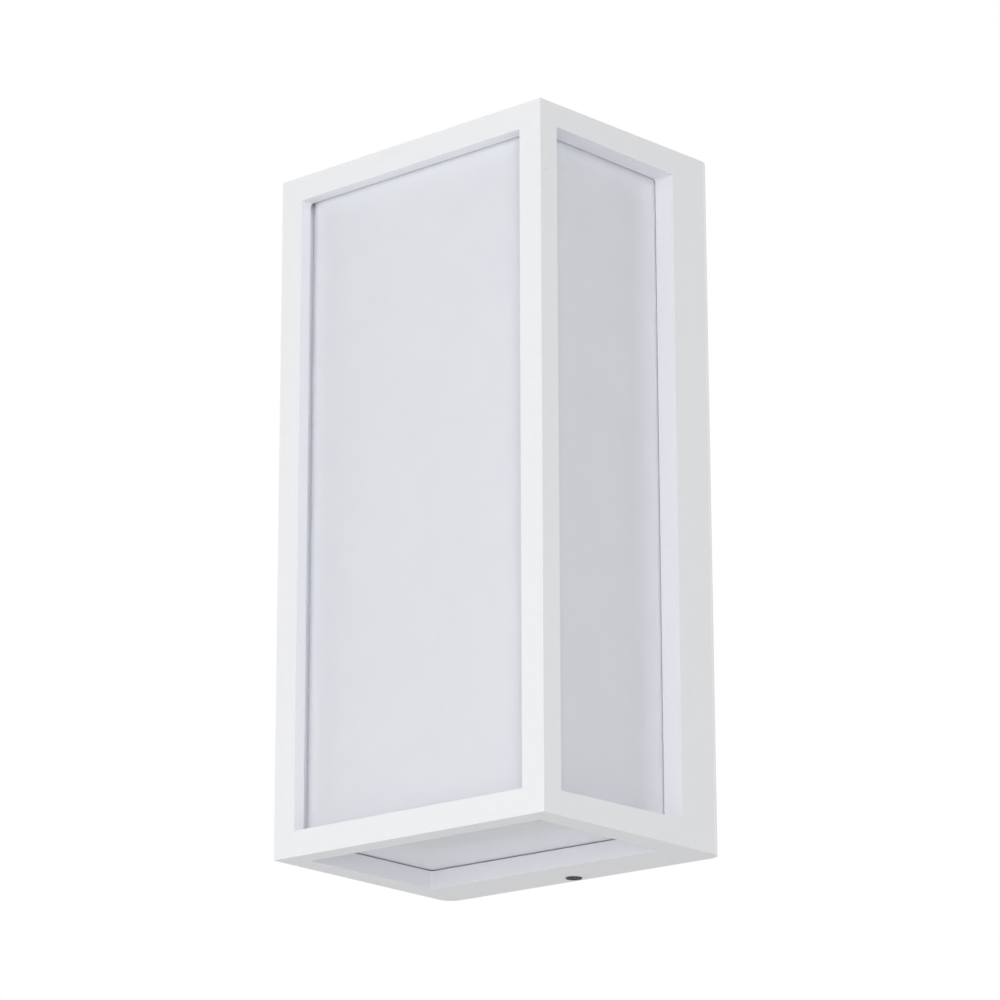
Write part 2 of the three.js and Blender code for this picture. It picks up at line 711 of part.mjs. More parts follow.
const earthX = poles.earth * block.pitch;
const lugTop = barrelStart + lug.barrelLength;
add('earth_wire', wireAlong([
  [earthX, mouthY, mouthEnd],
  [earthX, mouthY, blockTop + 2],
  [earthX - 5, mouthY, blockTop + 7],
  [earthX - 14, mouthY + 1, blockTop + 4],
  [earth.x + 3, mouthY + 2, block.z],
  [earth.x, barrelY, lugTop + 10],
  [earth.x, barrelY, lugTop + GAP],
]), insulation.green);

const connectorTop = connector.z + connector.height / 2;
const connectorY = connectorBack - connector.depth / 2;
const ledExitY = driverBack - driver.depth / 2;
const notchZ = panel.height / 2 - panelNotch.depth / 2;
for (const [name, side, colour] of [['plus', -1, 'red'], ['minus', 1, 'black']]) {
  const x = (side * wire.spacing) / 2;
  add(`led_wire_${name}`, wireAlong([
    [x, ledExitY, driverTop + GAP],
    [x, ledExitY, driverTop + 3],
    [x, (ledExitY + panel.y) / 2, notchZ - 1],
    [x, panel.y - panel.sheet / 2, notchZ + 1],
    [x, connectorY + 1, notchZ - 1],
    [x, connectorY, connectorTop + 4],
    [x, connectorY, connectorTop + GAP],
  ]), insulation[colour]);
}

export default part;
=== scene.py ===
"""Outdoor wall lantern: the finished pieces, their materials and the studio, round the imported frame."""

import math

import bmesh
import bpy
from bpy.props import FloatProperty, FloatVectorProperty, IntProperty, PointerProperty
from mathutils import Matrix, Vector


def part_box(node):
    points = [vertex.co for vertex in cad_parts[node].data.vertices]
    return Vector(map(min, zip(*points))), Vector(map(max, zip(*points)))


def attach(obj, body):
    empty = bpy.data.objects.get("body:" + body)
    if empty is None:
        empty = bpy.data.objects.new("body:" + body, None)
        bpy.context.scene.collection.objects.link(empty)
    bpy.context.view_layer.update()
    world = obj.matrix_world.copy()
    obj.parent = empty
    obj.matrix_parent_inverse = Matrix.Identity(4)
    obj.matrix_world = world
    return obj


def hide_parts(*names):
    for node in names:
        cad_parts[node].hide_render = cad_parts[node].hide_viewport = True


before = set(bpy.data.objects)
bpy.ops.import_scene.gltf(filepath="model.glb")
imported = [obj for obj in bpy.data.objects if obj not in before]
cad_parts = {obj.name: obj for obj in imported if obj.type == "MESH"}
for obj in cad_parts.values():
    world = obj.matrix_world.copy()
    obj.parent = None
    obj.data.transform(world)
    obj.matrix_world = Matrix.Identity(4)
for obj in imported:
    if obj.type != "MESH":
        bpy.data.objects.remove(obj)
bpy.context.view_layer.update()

bl_info = {
    "name": "Outdoor wall lantern",
    "version": (1, 0, 0),
    "blender": (4, 5, 0),
    "location": "View3D > Sidebar > Wall lantern",
    "description": "Builds the wall lantern's pieces, finishes and studio round its packed frame",
    "category": "Object",
}

MM = 0.001
LANTERN = "lantern"
WALL = "wall_base"
ENDS = {"top": 1, "bottom": -1}
SIDES = (-1, 1)
POLES = ("earth", "neutral", "live")
OVER = 1.0 * MM  # how far a cutter passes the surface that it cuts
RIB_EDGE = 0.4 * MM
RANK = Vector((1.0, 1.6180339, 2.7182818))  # gives each place its own rank, for a fixed order


# ---------- Settings ----------


def length(name, description, default, low=0.0):
    """A size in metres, given in millimetres."""
    return FloatProperty(
        name=name,
        description=description,
        default=default * MM,
        min=low,
        precision=5,
        subtype="DISTANCE",
        unit="LENGTH",
    )


def amount(name, description, default):
    """A plain number of zero or more."""
    return FloatProperty(name=name, description=description, default=default, min=0.0)


def colour(name, description, default):
    """A linear colour."""
    return FloatVectorProperty(
        name=name, description=description, default=default, size=3, min=0.0, max=1.0, subtype="COLOR"
    )


class CageSizes(bpy.types.PropertyGroup):
    """Sizes of the cast cage and its windows."""

    front_width: length("Front width", "Width of the front face", 126.8)
    front_height: length("Front height", "Height of the front face", 256.8)
    edge_radius: length("Wall edge radius", "Rounding of the upright edges at the wall", 5.5)
    front_wall: length("Front wall", "Thickness round the front window", 5.0)
    side_wall: length("Side wall", "Thickness of each side", 8.0)
    end_wall: length("End wall", "Thickness of the top and bottom", 6.6)
    front_bar: length("Front bar", "Bars beside the front window", 9.8)
    front_end_bar: length("Front end bar", "Bars above and below the front window", 9.4)
    side_front_bar: length("Side front bar", "Bar between a side window and the front", 8.7)
    side_wall_bar: length("Side wall bar", "Bar between a side window and the wall", 22.6)
    side_end_bar: length("Side end bar", "Bars above and below a side window", 8.5)
    bottom_side_bar: length("Bottom side bar", "Bars beside the bottom window", 9.6)
    bottom_front_bar: length("Bottom front bar", "Bar between the bottom window and the front", 8.8)
    bottom_wall_bar: length("Bottom wall bar", "Bar between the bottom window and the wall", 22.1)
    face_corner: length("Window corner at the face", "Corner radius where a window starts", 0.35)
    deep_corner: length("Window corner inside", "Corner radius where a window ends", 1.3)
    edge_break: length("Edge break", "Rounding that the coating leaves on sharp edges", 0.42)
    rebate_depth: length("Rebate depth", "Depth of the wider mouth behind the opal box", 16.0)
    rebate_land: length("Rebate land", "Width of the back face beside the mouth", 0.8)
    rebate_end: length("Rebate end wall", "Wall above and below the mouth", 2.6)
    inside_corner: length("Inside corner", "Corner radius of the hollow inside", 1.0)
    mouth_corner: length("Mouth corner", "Corner radius of the wider mouth", 2.0)
    head_gap: length("Head gap", "Room round the head of a locking screw", 0.2)
    shank_gap: length("Shank gap", "Room round a shank and under a head", 0.3)
    pilot_radius: length("Pilot radius", "Radius of the pilot holes for the opal box's screws", 1.45)
    rib_gap: length("Rib gap", "Gap between a rib and the end of its clamp bar", 0.3)
    rib_thickness: length("Rib thickness", "Thickness of the ribs beside the clamp bars", 3.0)
    rib_depth: length("Rib depth", "Depth of the ribs beside the clamp bars", 9.0)


class OpalSizes(bpy.types.PropertyGroup):
    """Sizes of the opal box."""

    wall: length("Wall", "Thickness of the opal plastic", 2.2)
    corner_across: length("Corner across", "Width of the rounded upright front edge", 9.0)
    corner_deep: length("Corner deep", "Depth of the rounded upright front edge", 3.8)
    end_radius: length("End radius", "Rounding at the top and bottom", 2.4)
    clearance: length("Clearance", "Gap between the opal box and the cage", 0.3)
    flange: length("Flange", "Thickness of the flange at the back", 2.0)
    flange_corner: length("Flange corner", "Corner radius of the flange", 1.7)
    hole_radius: length("Hole radius", "Radius of the screw holes in the flange", 1.6)


class ScrewSizes(bpy.types.PropertyGroup):
    """What all the screws share."""

    lock_shank: length("Locking screw shank", "Thread diameter of the locking screws", 4.0)
    lock_head: length("Locking screw head", "Head height of the locking screws", 1.9)
    steps: IntProperty(name="Steps", description="Steps round a screw", default=32, min=12, max=96)


class Finishes(bpy.types.PropertyGroup):
    """Base colours of the finishes."""

    powder_coat: colour("Powder coat", "White powder coat on the casting", (0.862, 0.868, 0.886))
    opal: colour("Opal plastic", "Opal box", (0.81, 0.826, 0.95))
    rubber: colour("Rubber", "Seals and grommet", (0.085, 0.09, 0.095))
    black_steel: colour("Black steel", "Locking screws", (0.012, 0.012, 0.013))
    zinc: colour("Zinc", "Zinc-plated steel", (0.60, 0.61, 0.62))
    sheet: colour("Sheet", "White painted sheet", (0.80, 0.81, 0.81))
    plastic: colour("Plastic", "White moulded plastic", (0.78, 0.78, 0.75))
    mask: colour("Solder mask", "White circuit board", (0.82, 0.83, 0.80))
    phosphor: colour("Phosphor", "Yellow silicone over a diode", (0.78, 0.52, 0.07))
    brass: colour("Brass", "Terminal and earth parts", (0.66, 0.47, 0.17))


class StudioSettings(bpy.types.PropertyGroup):
    """Light and camera."""

    right: amount("Right light", "Power of the light at the front right", 19.0)
    left: amount("Left light", "Power of the light on the left", 24.0)
    front: amount("Front light", "Power of the light in front", 12.5)
    top: amount("Top light", "Strength of the light from straight above", 0.32)
    back: amount("Back light", "Power of the light behind", 14.0)
    ambient: amount("Ambient", "Brightness of the surroundings", 0.36)
    lens: amount("Lens", "Focal length in millimetres", 142.13)
    floor_depth: length("Floor depth", "Distance of the floor below the wall mount", 1500.0)


GROUPS = {
    "lantern_cage": CageSizes,
    "lantern_opal": OpalSizes,
    "lantern_screws": ScrewSizes,
    "lantern_finishes": Finishes,
    "lantern_studio": StudioSettings,
}


# ---------- Mesh helpers ----------


def centre_of(node):
    """Middle of a CAD node's box."""
    low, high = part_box(node)
    return (Vector(low) + Vector(high)) / 2


def finish_mesh(bm, name, sharp=35.0, weld=1e-6):
    """Turns a bmesh into an object with smooth faces and sharp edges where it bends strongly."""
    bmesh.ops.remove_doubles(bm, verts=bm.verts, dist=weld)
    bmesh.ops.recalc_face_normals(bm, faces=bm.faces)
    mesh = bpy.data.meshes.new(name)
    bm.to_mesh(mesh)
    bm.free()
    mesh.shade_smooth()
    mesh.set_sharp_from_angle(angle=math.radians(sharp))
    piece = bpy.data.objects.new(name, mesh)
    bpy.context.scene.collection.objects.link(piece)
    return piece


def keep_flats(piece):
    """Holds flat faces flat beside small rounded edges."""
    weighted = piece.modifiers.new("Flat faces", "WEIGHTED_NORMAL")
    weighted.keep_sharp = True
    return piece


def place(piece, body, nodes, material):
    """Gives a finished piece its finish, puts it in its body and hides the CAD nodes that it stands for.
    """
    piece.data.materials.append(material)
    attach(piece, body)
    if nodes:
        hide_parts(*nodes)
    return piece


def arc(cx, cy, rx, ry, start, sweep, steps):
    """Points of an arc in a plane, angles in degrees."""
    turns = [math.radians(start + sweep * i / steps) for i in range(steps + 1)]
    return [(cx + rx * math.cos(t), cy + ry * math.sin(t)) for t in turns]


def rounded_rectangle(u0, u1, v0, v1, radius, steps=6):
    """Outline of a rectangle with rounded corners, anticlockwise."""
    quarters = ((u1, v1, -1, -1, 0), (u0, v1, 1, -1, 90), (u0, v0, 1, 1, 180), (u1, v0, -1, 1, 270))
    points = []
    for u, v, i, j, start in quarters:
        points += arc(u + i * radius, v + j * radius, radius, radius, start, 90, steps)
    return points


def add_ring(bm, points, where):
    """Adds a closed ring of vertices; where turns a flat point into a place. Returns its edges."""
    verts = [bm.verts.new(where(u, v)) for u, v in points]
    return [bm.edges.new((a, b)) for a, b in zip(verts, verts[1:] + verts[:1])]


def loft(bm, rings, caps=True):
    """Joins rings of edges in order and closes the two ends."""
    for near, far in zip(rings, rings[1:]):
        bmesh.ops.bridge_loops(bm, edges=near + far)
    if caps:
        for ring in (rings[0], rings[-1]):
            bmesh.ops.contextual_create(bm, geom=ring)
    bmesh.ops.recalc_face_normals(bm, faces=bm.faces)


def block(bm, low, high):
    """Adds a box between two corners."""
    low, high = Vector(low), Vector(high)
    size = Matrix.Diagonal((*(high - low), 1))
    return bmesh.ops.create_cube(bm, size=1, matrix=Matrix.Translation((low + high) / 2) @ size)["verts"]


def rod(bm, radius, start, end, steps=32):
    """Adds a closed round rod between two points."""
    start, end = Vector(start), Vector(end)
    along = end - start
    turn = along.to_track_quat("Z", "Y").to_matrix().to_4x4()
    return bmesh.ops.create_cone(
        bm,
        cap_ends=True,
        segments=steps,
        radius1=radius,
        radius2=radius,
        depth=along.length,
        matrix=Matrix.Translation((start + end) / 2) @ turn,
    )["verts"]


def rod_of(radius, start, end, steps=28):
    """A closed round rod as a bmesh of its own."""
    bm = bmesh.new()
    rod(bm, radius, start, end, steps)
    return bm


def block_of(low, high):
    """A closed box as a bmesh of its own."""
    bm = bmesh.new()
    block(bm, low, high)
    return bm


def upright(u, v, y):
    """Places a point of a front view at a depth."""
    return (u, y, v)


def prism_of(outline, where, steps):
    """A closed shape through one flat outline, which where places at each step."""
    bm = bmesh.new()
    loft(bm, [add_ring(bm, outline, lambda u, v, d=d: where(u, v, d)) for d in steps])
    return bm


def lathe(bm, points, steps, closed=False, merge=True, rise=0.0):
    """Turns a profile of (radius, height) points once round the Z axis."""
    verts = [bm.verts.new((r, 0, h)) for r, h in points]
    pairs = zip(verts, verts[1:] + verts[:1]) if closed else zip(verts, verts[1:])
    edges = [bm.edges.new(pair) for pair in pairs]
    bmesh.ops.spin(
        bm,
        geom=verts + edges,
        cent=(0, 0, 0),
        axis=(0, 0, 1),
        dvec=(0, 0, rise / steps),
        angle=math.tau,
        steps=steps,
        use_merge=merge,
    )


def bevel(bm, edges, width, segments):
    """Rounds some edges."""
    bmesh.ops.bevel(
        bm,
        geom=edges,
        offset=width,
        offset_type="OFFSET",
        affect="EDGES",
        segments=segments,
        profile=0.5,
        clamp_overlap=True,
        material=-1,
    )


def soften(bm, width, least=28.0, segments=2, faces=None):
    """Rounds every edge that bends by more than an angle."""
    edges = [
        e
        for e in bm.edges
        if len(e.link_faces) == 2 and e.calc_face_angle(0) > math.radians(least)
        and (faces is None or all(f in faces for f in e.link_faces))
    ]
    bevel(bm, edges, width, segments)


def combine(base, tools, operation):
    """Cuts closed shapes out of a closed shape, or joins them to it. Returns a new bmesh."""
    things = []
    for shape in (base, *tools):
        bmesh.ops.recalc_face_normals(shape, faces=shape.faces)
        mesh = bpy.data.meshes.new("combine")
        shape.to_mesh(mesh)
        shape.free()
        thing = bpy.data.objects.new("combine", mesh)
        bpy.context.scene.collection.objects.link(thing)
        things.append(thing)
    for tool in things[1:]:
        step = things[0].modifiers.new("Combine", "BOOLEAN")
        step.operation = operation
        step.solver = "EXACT"
        step.object = tool
    bpy.context.view_layer.update()
    result = bmesh.new()
    result.from_object(things[0], bpy.context.evaluated_depsgraph_get())
    for thing in things:
        mesh = thing.data
        bpy.data.objects.remove(thing)
        bpy.data.meshes.remove(mesh)
    return result


def carve(bm, cutters):
    """Cuts closed shapes out of a closed mesh and leaves no slivers. Returns a new bmesh."""
    result = combine(bm, cutters, "DIFFERENCE")
    result.verts.sort(key=lambda v: v.co.dot(RANK))
    result.edges.sort(key=lambda e: (e.verts[0].co + e.verts[1].co).dot(RANK))
    result.faces.sort(key=lambda f: f.calc_center_median().dot(RANK))
    bmesh.ops.remove_doubles(result, verts=result.verts, dist=2e-6)
    bmesh.ops.dissolve_degenerate(result, edges=result.edges, dist=2e-6)
    bmesh.ops.dissolve_limit(
        result,
        angle_limit=math.radians(0.4),
        verts=result.verts,
        edges=result.edges,
        use_dissolve_boundaries=False,
    )
    return result


# ---------- Materials ----------


def node_group(name, inputs, outputs, fill):
    """A shader node group with named sockets, made once."""
    group = bpy.data.node_groups.get(name)
    if group:
        return group
    group = bpy.data.node_groups.new(name, "ShaderNodeTree")
    for label, kind, value in inputs:
        socket = group.interface.new_socket(label, in_out="INPUT", socket_type=kind)
        socket.default_value = value
    for label, kind in outputs:
        group.interface.new_socket(label, in_out="OUTPUT", socket_type=kind)
    start = group.nodes.new("NodeGroupInput")
    end = group.nodes.new("NodeGroupOutput")
    fill(group, start, end)
    return group


def math_node(tree, operation, a, b=None):
    """A Math node fed by sockets or numbers. Returns its result socket."""
    node = tree.nodes.new("ShaderNodeMath")
    node.operation = operation
    for socket, value in zip(node.inputs, (a, b)):
        if isinstance(value, (int, float)):
            socket.default_value = value
        elif value is not None:
            tree.links.new(value, socket)
    return node.outputs[0]


def noise(tree, coordinates, scale, detail=2.0, roughness=0.5):
    """A noise texture; scale may be a number or a socket. Returns its factor socket."""
    node = tree.nodes.new("ShaderNodeTexNoise")
    node.inputs["Detail"].default_value = detail
    node.inputs["Roughness"].default_value = roughness
    tree.links.new(coordinates, node.inputs["Vector"])
    if isinstance(scale, (int, float)):
        node.inputs["Scale"].default_value = scale
    else:
        tree.links.new(scale, node.inputs["Scale"])
    return node.outputs[0]


def ramp(tree, factor, low, high):
    """Clamped straight ramp from 0 at low to 1 at high."""
    node = tree.nodes.new("ShaderNodeMapRange")
    node.inputs["From Min"].default_value = low
    node.inputs["From Max"].default_value = high
    tree.links.new(factor, node.inputs["Value"])
    return node.outputs["Result"]


def fill_grain(tree, start, end):
    """Fine and coarse unevenness of a surface, as a height, and sparse specks, as a mask."""
    place_in = tree.nodes.new("ShaderNodeTexCoord").outputs["Object"]
    fine = noise(tree, place_in, start.outputs["Fine Scale"], 3.0, 0.6)
    coarse = noise(tree, place_in, start.outputs["Coarse Scale"], 1.0)
    mixed = math_node(tree, "ADD", math_node(tree, "MULTIPLY", fine, 0.5), coarse)
    tree.links.new(math_node(tree, "MULTIPLY", mixed, 0.6), end.inputs["Height"])
    cells = tree.nodes.new("ShaderNodeTexVoronoi")
    tree.links.new(place_in, cells.inputs["Vector"])
    tree.links.new(start.outputs["Speck Scale"], cells.inputs["Scale"])
    near = ramp(tree, cells.outputs["Distance"], 0.085, 0.05)
    chosen = tree.nodes.new("ShaderNodeSeparateColor")
    tree.links.new(cells.outputs["Color"], chosen.inputs["Color"])
    rare = ramp(tree, chosen.outputs[0], 0.90, 0.93)
    tree.links.new(math_node(tree, "MULTIPLY", near, rare), end.inputs["Specks"])
    tree.links.new(coarse, end.inputs["Cloud"])


def grain_group():
    """The unevenness group shared by the coated and moulded finishes."""
    return node_group(
        "Surface grain",
        [
            ("Fine Scale", "NodeSocketFloat", 1500.0),
            ("Coarse Scale", "NodeSocketFloat", 350.0),
            ("Speck Scale", "NodeSocketFloat", 140.0),
        ],
        [(label, "NodeSocketFloat") for label in ("Height", "Specks", "Cloud")],
        fill_grain,
    )


def fill_dust(tree, start, end):
    """Soft blotches of dust and handling, as a mask."""
    place_in = tree.nodes.new("ShaderNodeTexCoord").outputs["Object"]
    wide = noise(tree, place_in, start.outputs["Scale"], 5.0, 0.65)
    tree.links.new(ramp(tree, wide, 0.42, 0.72), end.inputs["Mask"])


def dust_group():
    """The dust group shared by every finish."""
    return node_group(
        "Dust", [("Scale", "NodeSocketFloat", 30.0)], [("Mask", "NodeSocketFloat")], fill_dust
    )


def fill_wear(tree, start, end):
    """Where an outward edge is worn, from how sharply the surface bends."""
    bend = tree.nodes.new("ShaderNodeNewGeometry").outputs["Pointiness"]
    edge = ramp(tree, bend, 0.51, 0.58)
    place_in = tree.nodes.new("ShaderNodeTexCoord").outputs["Object"]
    broken = ramp(tree, noise(tree, place_in, start.outputs["Scale"], 4.0, 0.7), 0.40, 0.62)
    tree.links.new(math_node(tree, "MULTIPLY", edge, broken), end.inputs["Mask"])


def wear_group():
    """The edge wear group shared by metal and plastic finishes."""
    return node_group(
        "Edge wear", [("Scale", "NodeSocketFloat", 400.0)], [("Mask", "NodeSocketFloat")], fill_wear
    )


def placed(tree, group, **values):
    """Puts a node group in a material with its own values."""
    node = tree.nodes.new("ShaderNodeGroup")
    node.node_tree = group
    for label, value in values.items():
        node.inputs[label.replace("_", " ")].default_value = value
    return node


def mix_colour(tree, factor, low, high):
    """Mixes two colours, each a tuple or a socket. Returns the result socket."""
    node = tree.nodes.new("ShaderNodeMix")
    node.data_type = "RGBA"
    sockets = [s for s in node.inputs if s.type == "RGBA"]
    tree.links.new(factor, node.inputs["Factor"])
    for socket, value in zip(sockets, (low, high)):
        if isinstance(value, bpy.types.NodeSocket):
            tree.links.new(value, socket)
        else:
            socket.default_value = (*value, 1.0)
    return next(s for s in node.outputs if s.type == "RGBA")


def blend(tree, factor, low, high):
    """Mixes two numbers by a factor."""
    node = tree.nodes.new("ShaderNodeMapRange")
    node.inputs["To Min"].default_value = low
    node.inputs["To Max"].default_value = high
    tree.links.new(factor, node.inputs["Value"])
    return node.outputs["Result"]


DUST_COLOUR = (0.62, 0.60, 0.57)


def shade(value, by):
    """A colour made lighter or darker."""
    return tuple(min(1.0, max(0.0, c * by)) for c in value)


def material(
    name, base, roughness, metallic=0.0, bump=0.1, bump_size=0.05, grain=(1500.0, 350.0, 140.0),
    dust=0.04, worn=None, specks=0.0, **constants,
):
    """A finish with uneven colour and roughness, a fine bump, dust and, if asked, worn edges."""
    made = bpy.data.materials.get(name)
    if made:
        return made
    made = bpy.data.materials.new(name)
    made.use_nodes = True
    tree = made.node_tree
    shader = tree.nodes["Principled BSDF"]
    for label, value in constants.items():
        shader.inputs[label.replace("_", " ")].default_value = value
    shader.inputs["Metallic"].default_value = metallic
    surface = placed(
        tree, grain_group(), Fine_Scale=grain[0], Coarse_Scale=grain[1], Speck_Scale=grain[2]
    )
    dirt = placed(tree, dust_group(), Scale=28.0)
    tone = mix_colour(tree, surface.outputs["Cloud"], shade(base, 0.985), shade(base, 1.015))
    if specks:
        spots = math_node(tree, "MULTIPLY", surface.outputs["Specks"], specks)
        tone = mix_colour(tree, spots, tone, shade(base, 0.72))
    dusty = math_node(tree, "MULTIPLY", dirt.outputs["Mask"], dust)
    tone = mix_colour(tree, dusty, tone, DUST_COLOUR)
    rough = blend(tree, surface.outputs["Cloud"], roughness - 0.04, roughness + 0.04)
    rough = math_node(tree, "ADD", rough, math_node(tree, "MULTIPLY", dirt.outputs["Mask"], dust * 2))
    if worn:
        mask = placed(tree, wear_group(), Scale=420.0).outputs["Mask"]
        tone = mix_colour(tree, mask, tone, worn)
    tree.links.new(tone, shader.inputs["Base Color"])
    tree.links.new(rough, shader.inputs["Roughness"])
    relief = tree.nodes.new("ShaderNodeBump")
    relief.inputs["Strength"].default_value = bump
    relief.inputs["Distance"].default_value = bump_size * MM
    tree.links.new(surface.outputs["Height"], relief.inputs["Height"])
    tree.links.new(relief.outputs["Normal"], shader.inputs["Normal"])
    return made


def finish_colour(name):
    """A base colour from the finish settings."""
    return tuple(getattr(bpy.context.scene.lantern_finishes, name))


def powder_coat():
    """White powder coat: a little orange peel and rare specks."""
    return material(
        "White powder coat", finish_colour("powder_coat"), 0.46,
        bump=0.35, grain=(1700.0, 480.0, 95.0), dust=0.02, specks=0.5,
    )


def opal_plastic():
    """Smooth opal plastic with a soft glow through it."""
    made = material(
        "Opal plastic", finish_colour("opal"), 0.17,
        bump=0.06, bump_size=0.04, grain=(900.0, 60.0, 60.0), dust=0.02,
        Subsurface_Weight=1.0, Subsurface_Scale=0.004, IOR=1.49,
    )
    shader = made.node_tree.nodes["Principled BSDF"]
    shader.inputs["Subsurface Radius"].default_value = (1.0, 0.95, 1.0)
    return made


def rubber():
    """Grey silicone rubber."""
    return material(
        "Grey rubber", finish_colour("rubber"), 0.72,
        bump=0.5, bump_size=0.08, grain=(2600.0, 500.0, 200.0), dust=0.12,
    )


def black_steel():
    """Blackened steel, paler where the coating is rubbed off its edges."""
    return material(
        "Black steel", finish_colour("black_steel"), 0.38,
        bump=0.3, bump_size=0.03, grain=(3200.0, 900.0, 300.0), dust=0.02, worn=(0.10, 0.10, 0.105),
    )


def zinc_steel():
    """Zinc-plated steel."""
    return material(
        "Zinc plated steel", finish_colour("zinc"), 0.30, metallic=1.0,
        bump=0.25, bump_size=0.03, grain=(2400.0, 700.0, 200.0), dust=0.05, worn=(0.74, 0.74, 0.75),
    )


def brass():
    """Drawn brass."""
    return material(
        "Brass", finish_colour("brass"), 0.28, metallic=1.0,
        bump=0.2, bump_size=0.03, grain=(2400.0, 700.0, 200.0), dust=0.05,
    )


def painted_sheet():
    """White polyester paint on pressed sheet."""
    return material(
        "White painted sheet", finish_colour("sheet"), 0.36,
        bump=0.22, bump_size=0.04, grain=(1300.0, 300.0, 110.0), specks=0.4,
    )


def moulded_plastic():
    """White moulded plastic with a fine spark texture."""
    return material(
        "White moulded plastic", finish_colour("plastic"), 0.5, bump=0.5, grain=(2800.0, 800.0, 200.0)
    )


def solder_mask():
    """White solder mask."""
    return material(
        "White solder mask", finish_colour("mask"), 0.30,
        bump=0.2, bump_size=0.03, grain=(1200.0, 180.0, 120.0), dust=0.03,
    )


def phosphor():
    """Yellow silicone over a light-emitting diode."""
    return material(
        "Phosphor", finish_colour("phosphor"), 0.35,
        bump=0.15, bump_size=0.03, grain=(4000.0, 1500.0, 400.0), dust=0.02,
    )


def insulation(name, base, stripe=None):
    """Coloured wire insulation, with a second colour in two lengthwise stripes if asked."""
    title = f"{name} insulation"
    fresh = title not in bpy.data.materials
    made = material(
        title, base, 0.42, bump=0.2, bump_size=0.04, grain=(1800.0, 260.0, 150.0), dust=0.06
    )
    if stripe and fresh:
        tree = made.node_tree
        colour_in = tree.nodes["Principled BSDF"].inputs["Base Color"]
        plain = colour_in.links[0].from_socket
        facing = tree.nodes.new("ShaderNodeSeparateXYZ")
        tree.links.new(tree.nodes.new("ShaderNodeTexCoord").outputs["Normal"], facing.inputs[0])
        across = math_node(tree, "SUBTRACT", facing.outputs["X"], facing.outputs["Y"])
        band = ramp(tree, math_node(tree, "ABSOLUTE", across), 1.10, 1.16)
        tree.links.new(mix_colour(tree, band, plain, stripe), colour_in)
    return made


# ---------- Cage ----------


def draft(sizes):
    """How far each side of the cage widens per metre towards the wall."""
    low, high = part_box("lantern_frame")
    return (high[0] - sizes.front_width / 2) / -low[1]


def cage_window(u0, u1, v0, v1, where, far, sizes):
    """A cutter for one window from its face to a depth, sharper at the face and rounder inside."""
    grow = (sizes.deep_corner - sizes.face_corner) / far
    bm = bmesh.new()
    rings = []
    for depth in (-OVER, 0.0, far, far + OVER):
        radius = sizes.face_corner + grow * min(max(depth, 0.0), far)
        points = rounded_rectangle(u0, u1, v0, v1, radius)
        rings.append(add_ring(bm, points, lambda u, v, d=depth: where(u, v, d)))
    loft(bm, rings)
    return bm


def cage_shell(s, slope, depth):
    """The solid cage before it is hollowed: square in front, rounded at the wall, wider at the back."""
    half = s.front_width / 2
    wall = half + slope * depth
    r = s.edge_radius
    plan = [(-half, -depth), (half, -depth)]
    plan += arc(wall - r, -r, r, r, 0, 90, 10)
    plan += arc(-wall + r, -r, r, r, 90, 90, 10)
    return prism_of(
        plan, lambda x, y, end: (x, y, end * (s.front_height / 2 + slope * (y + depth))), SIDES
    )


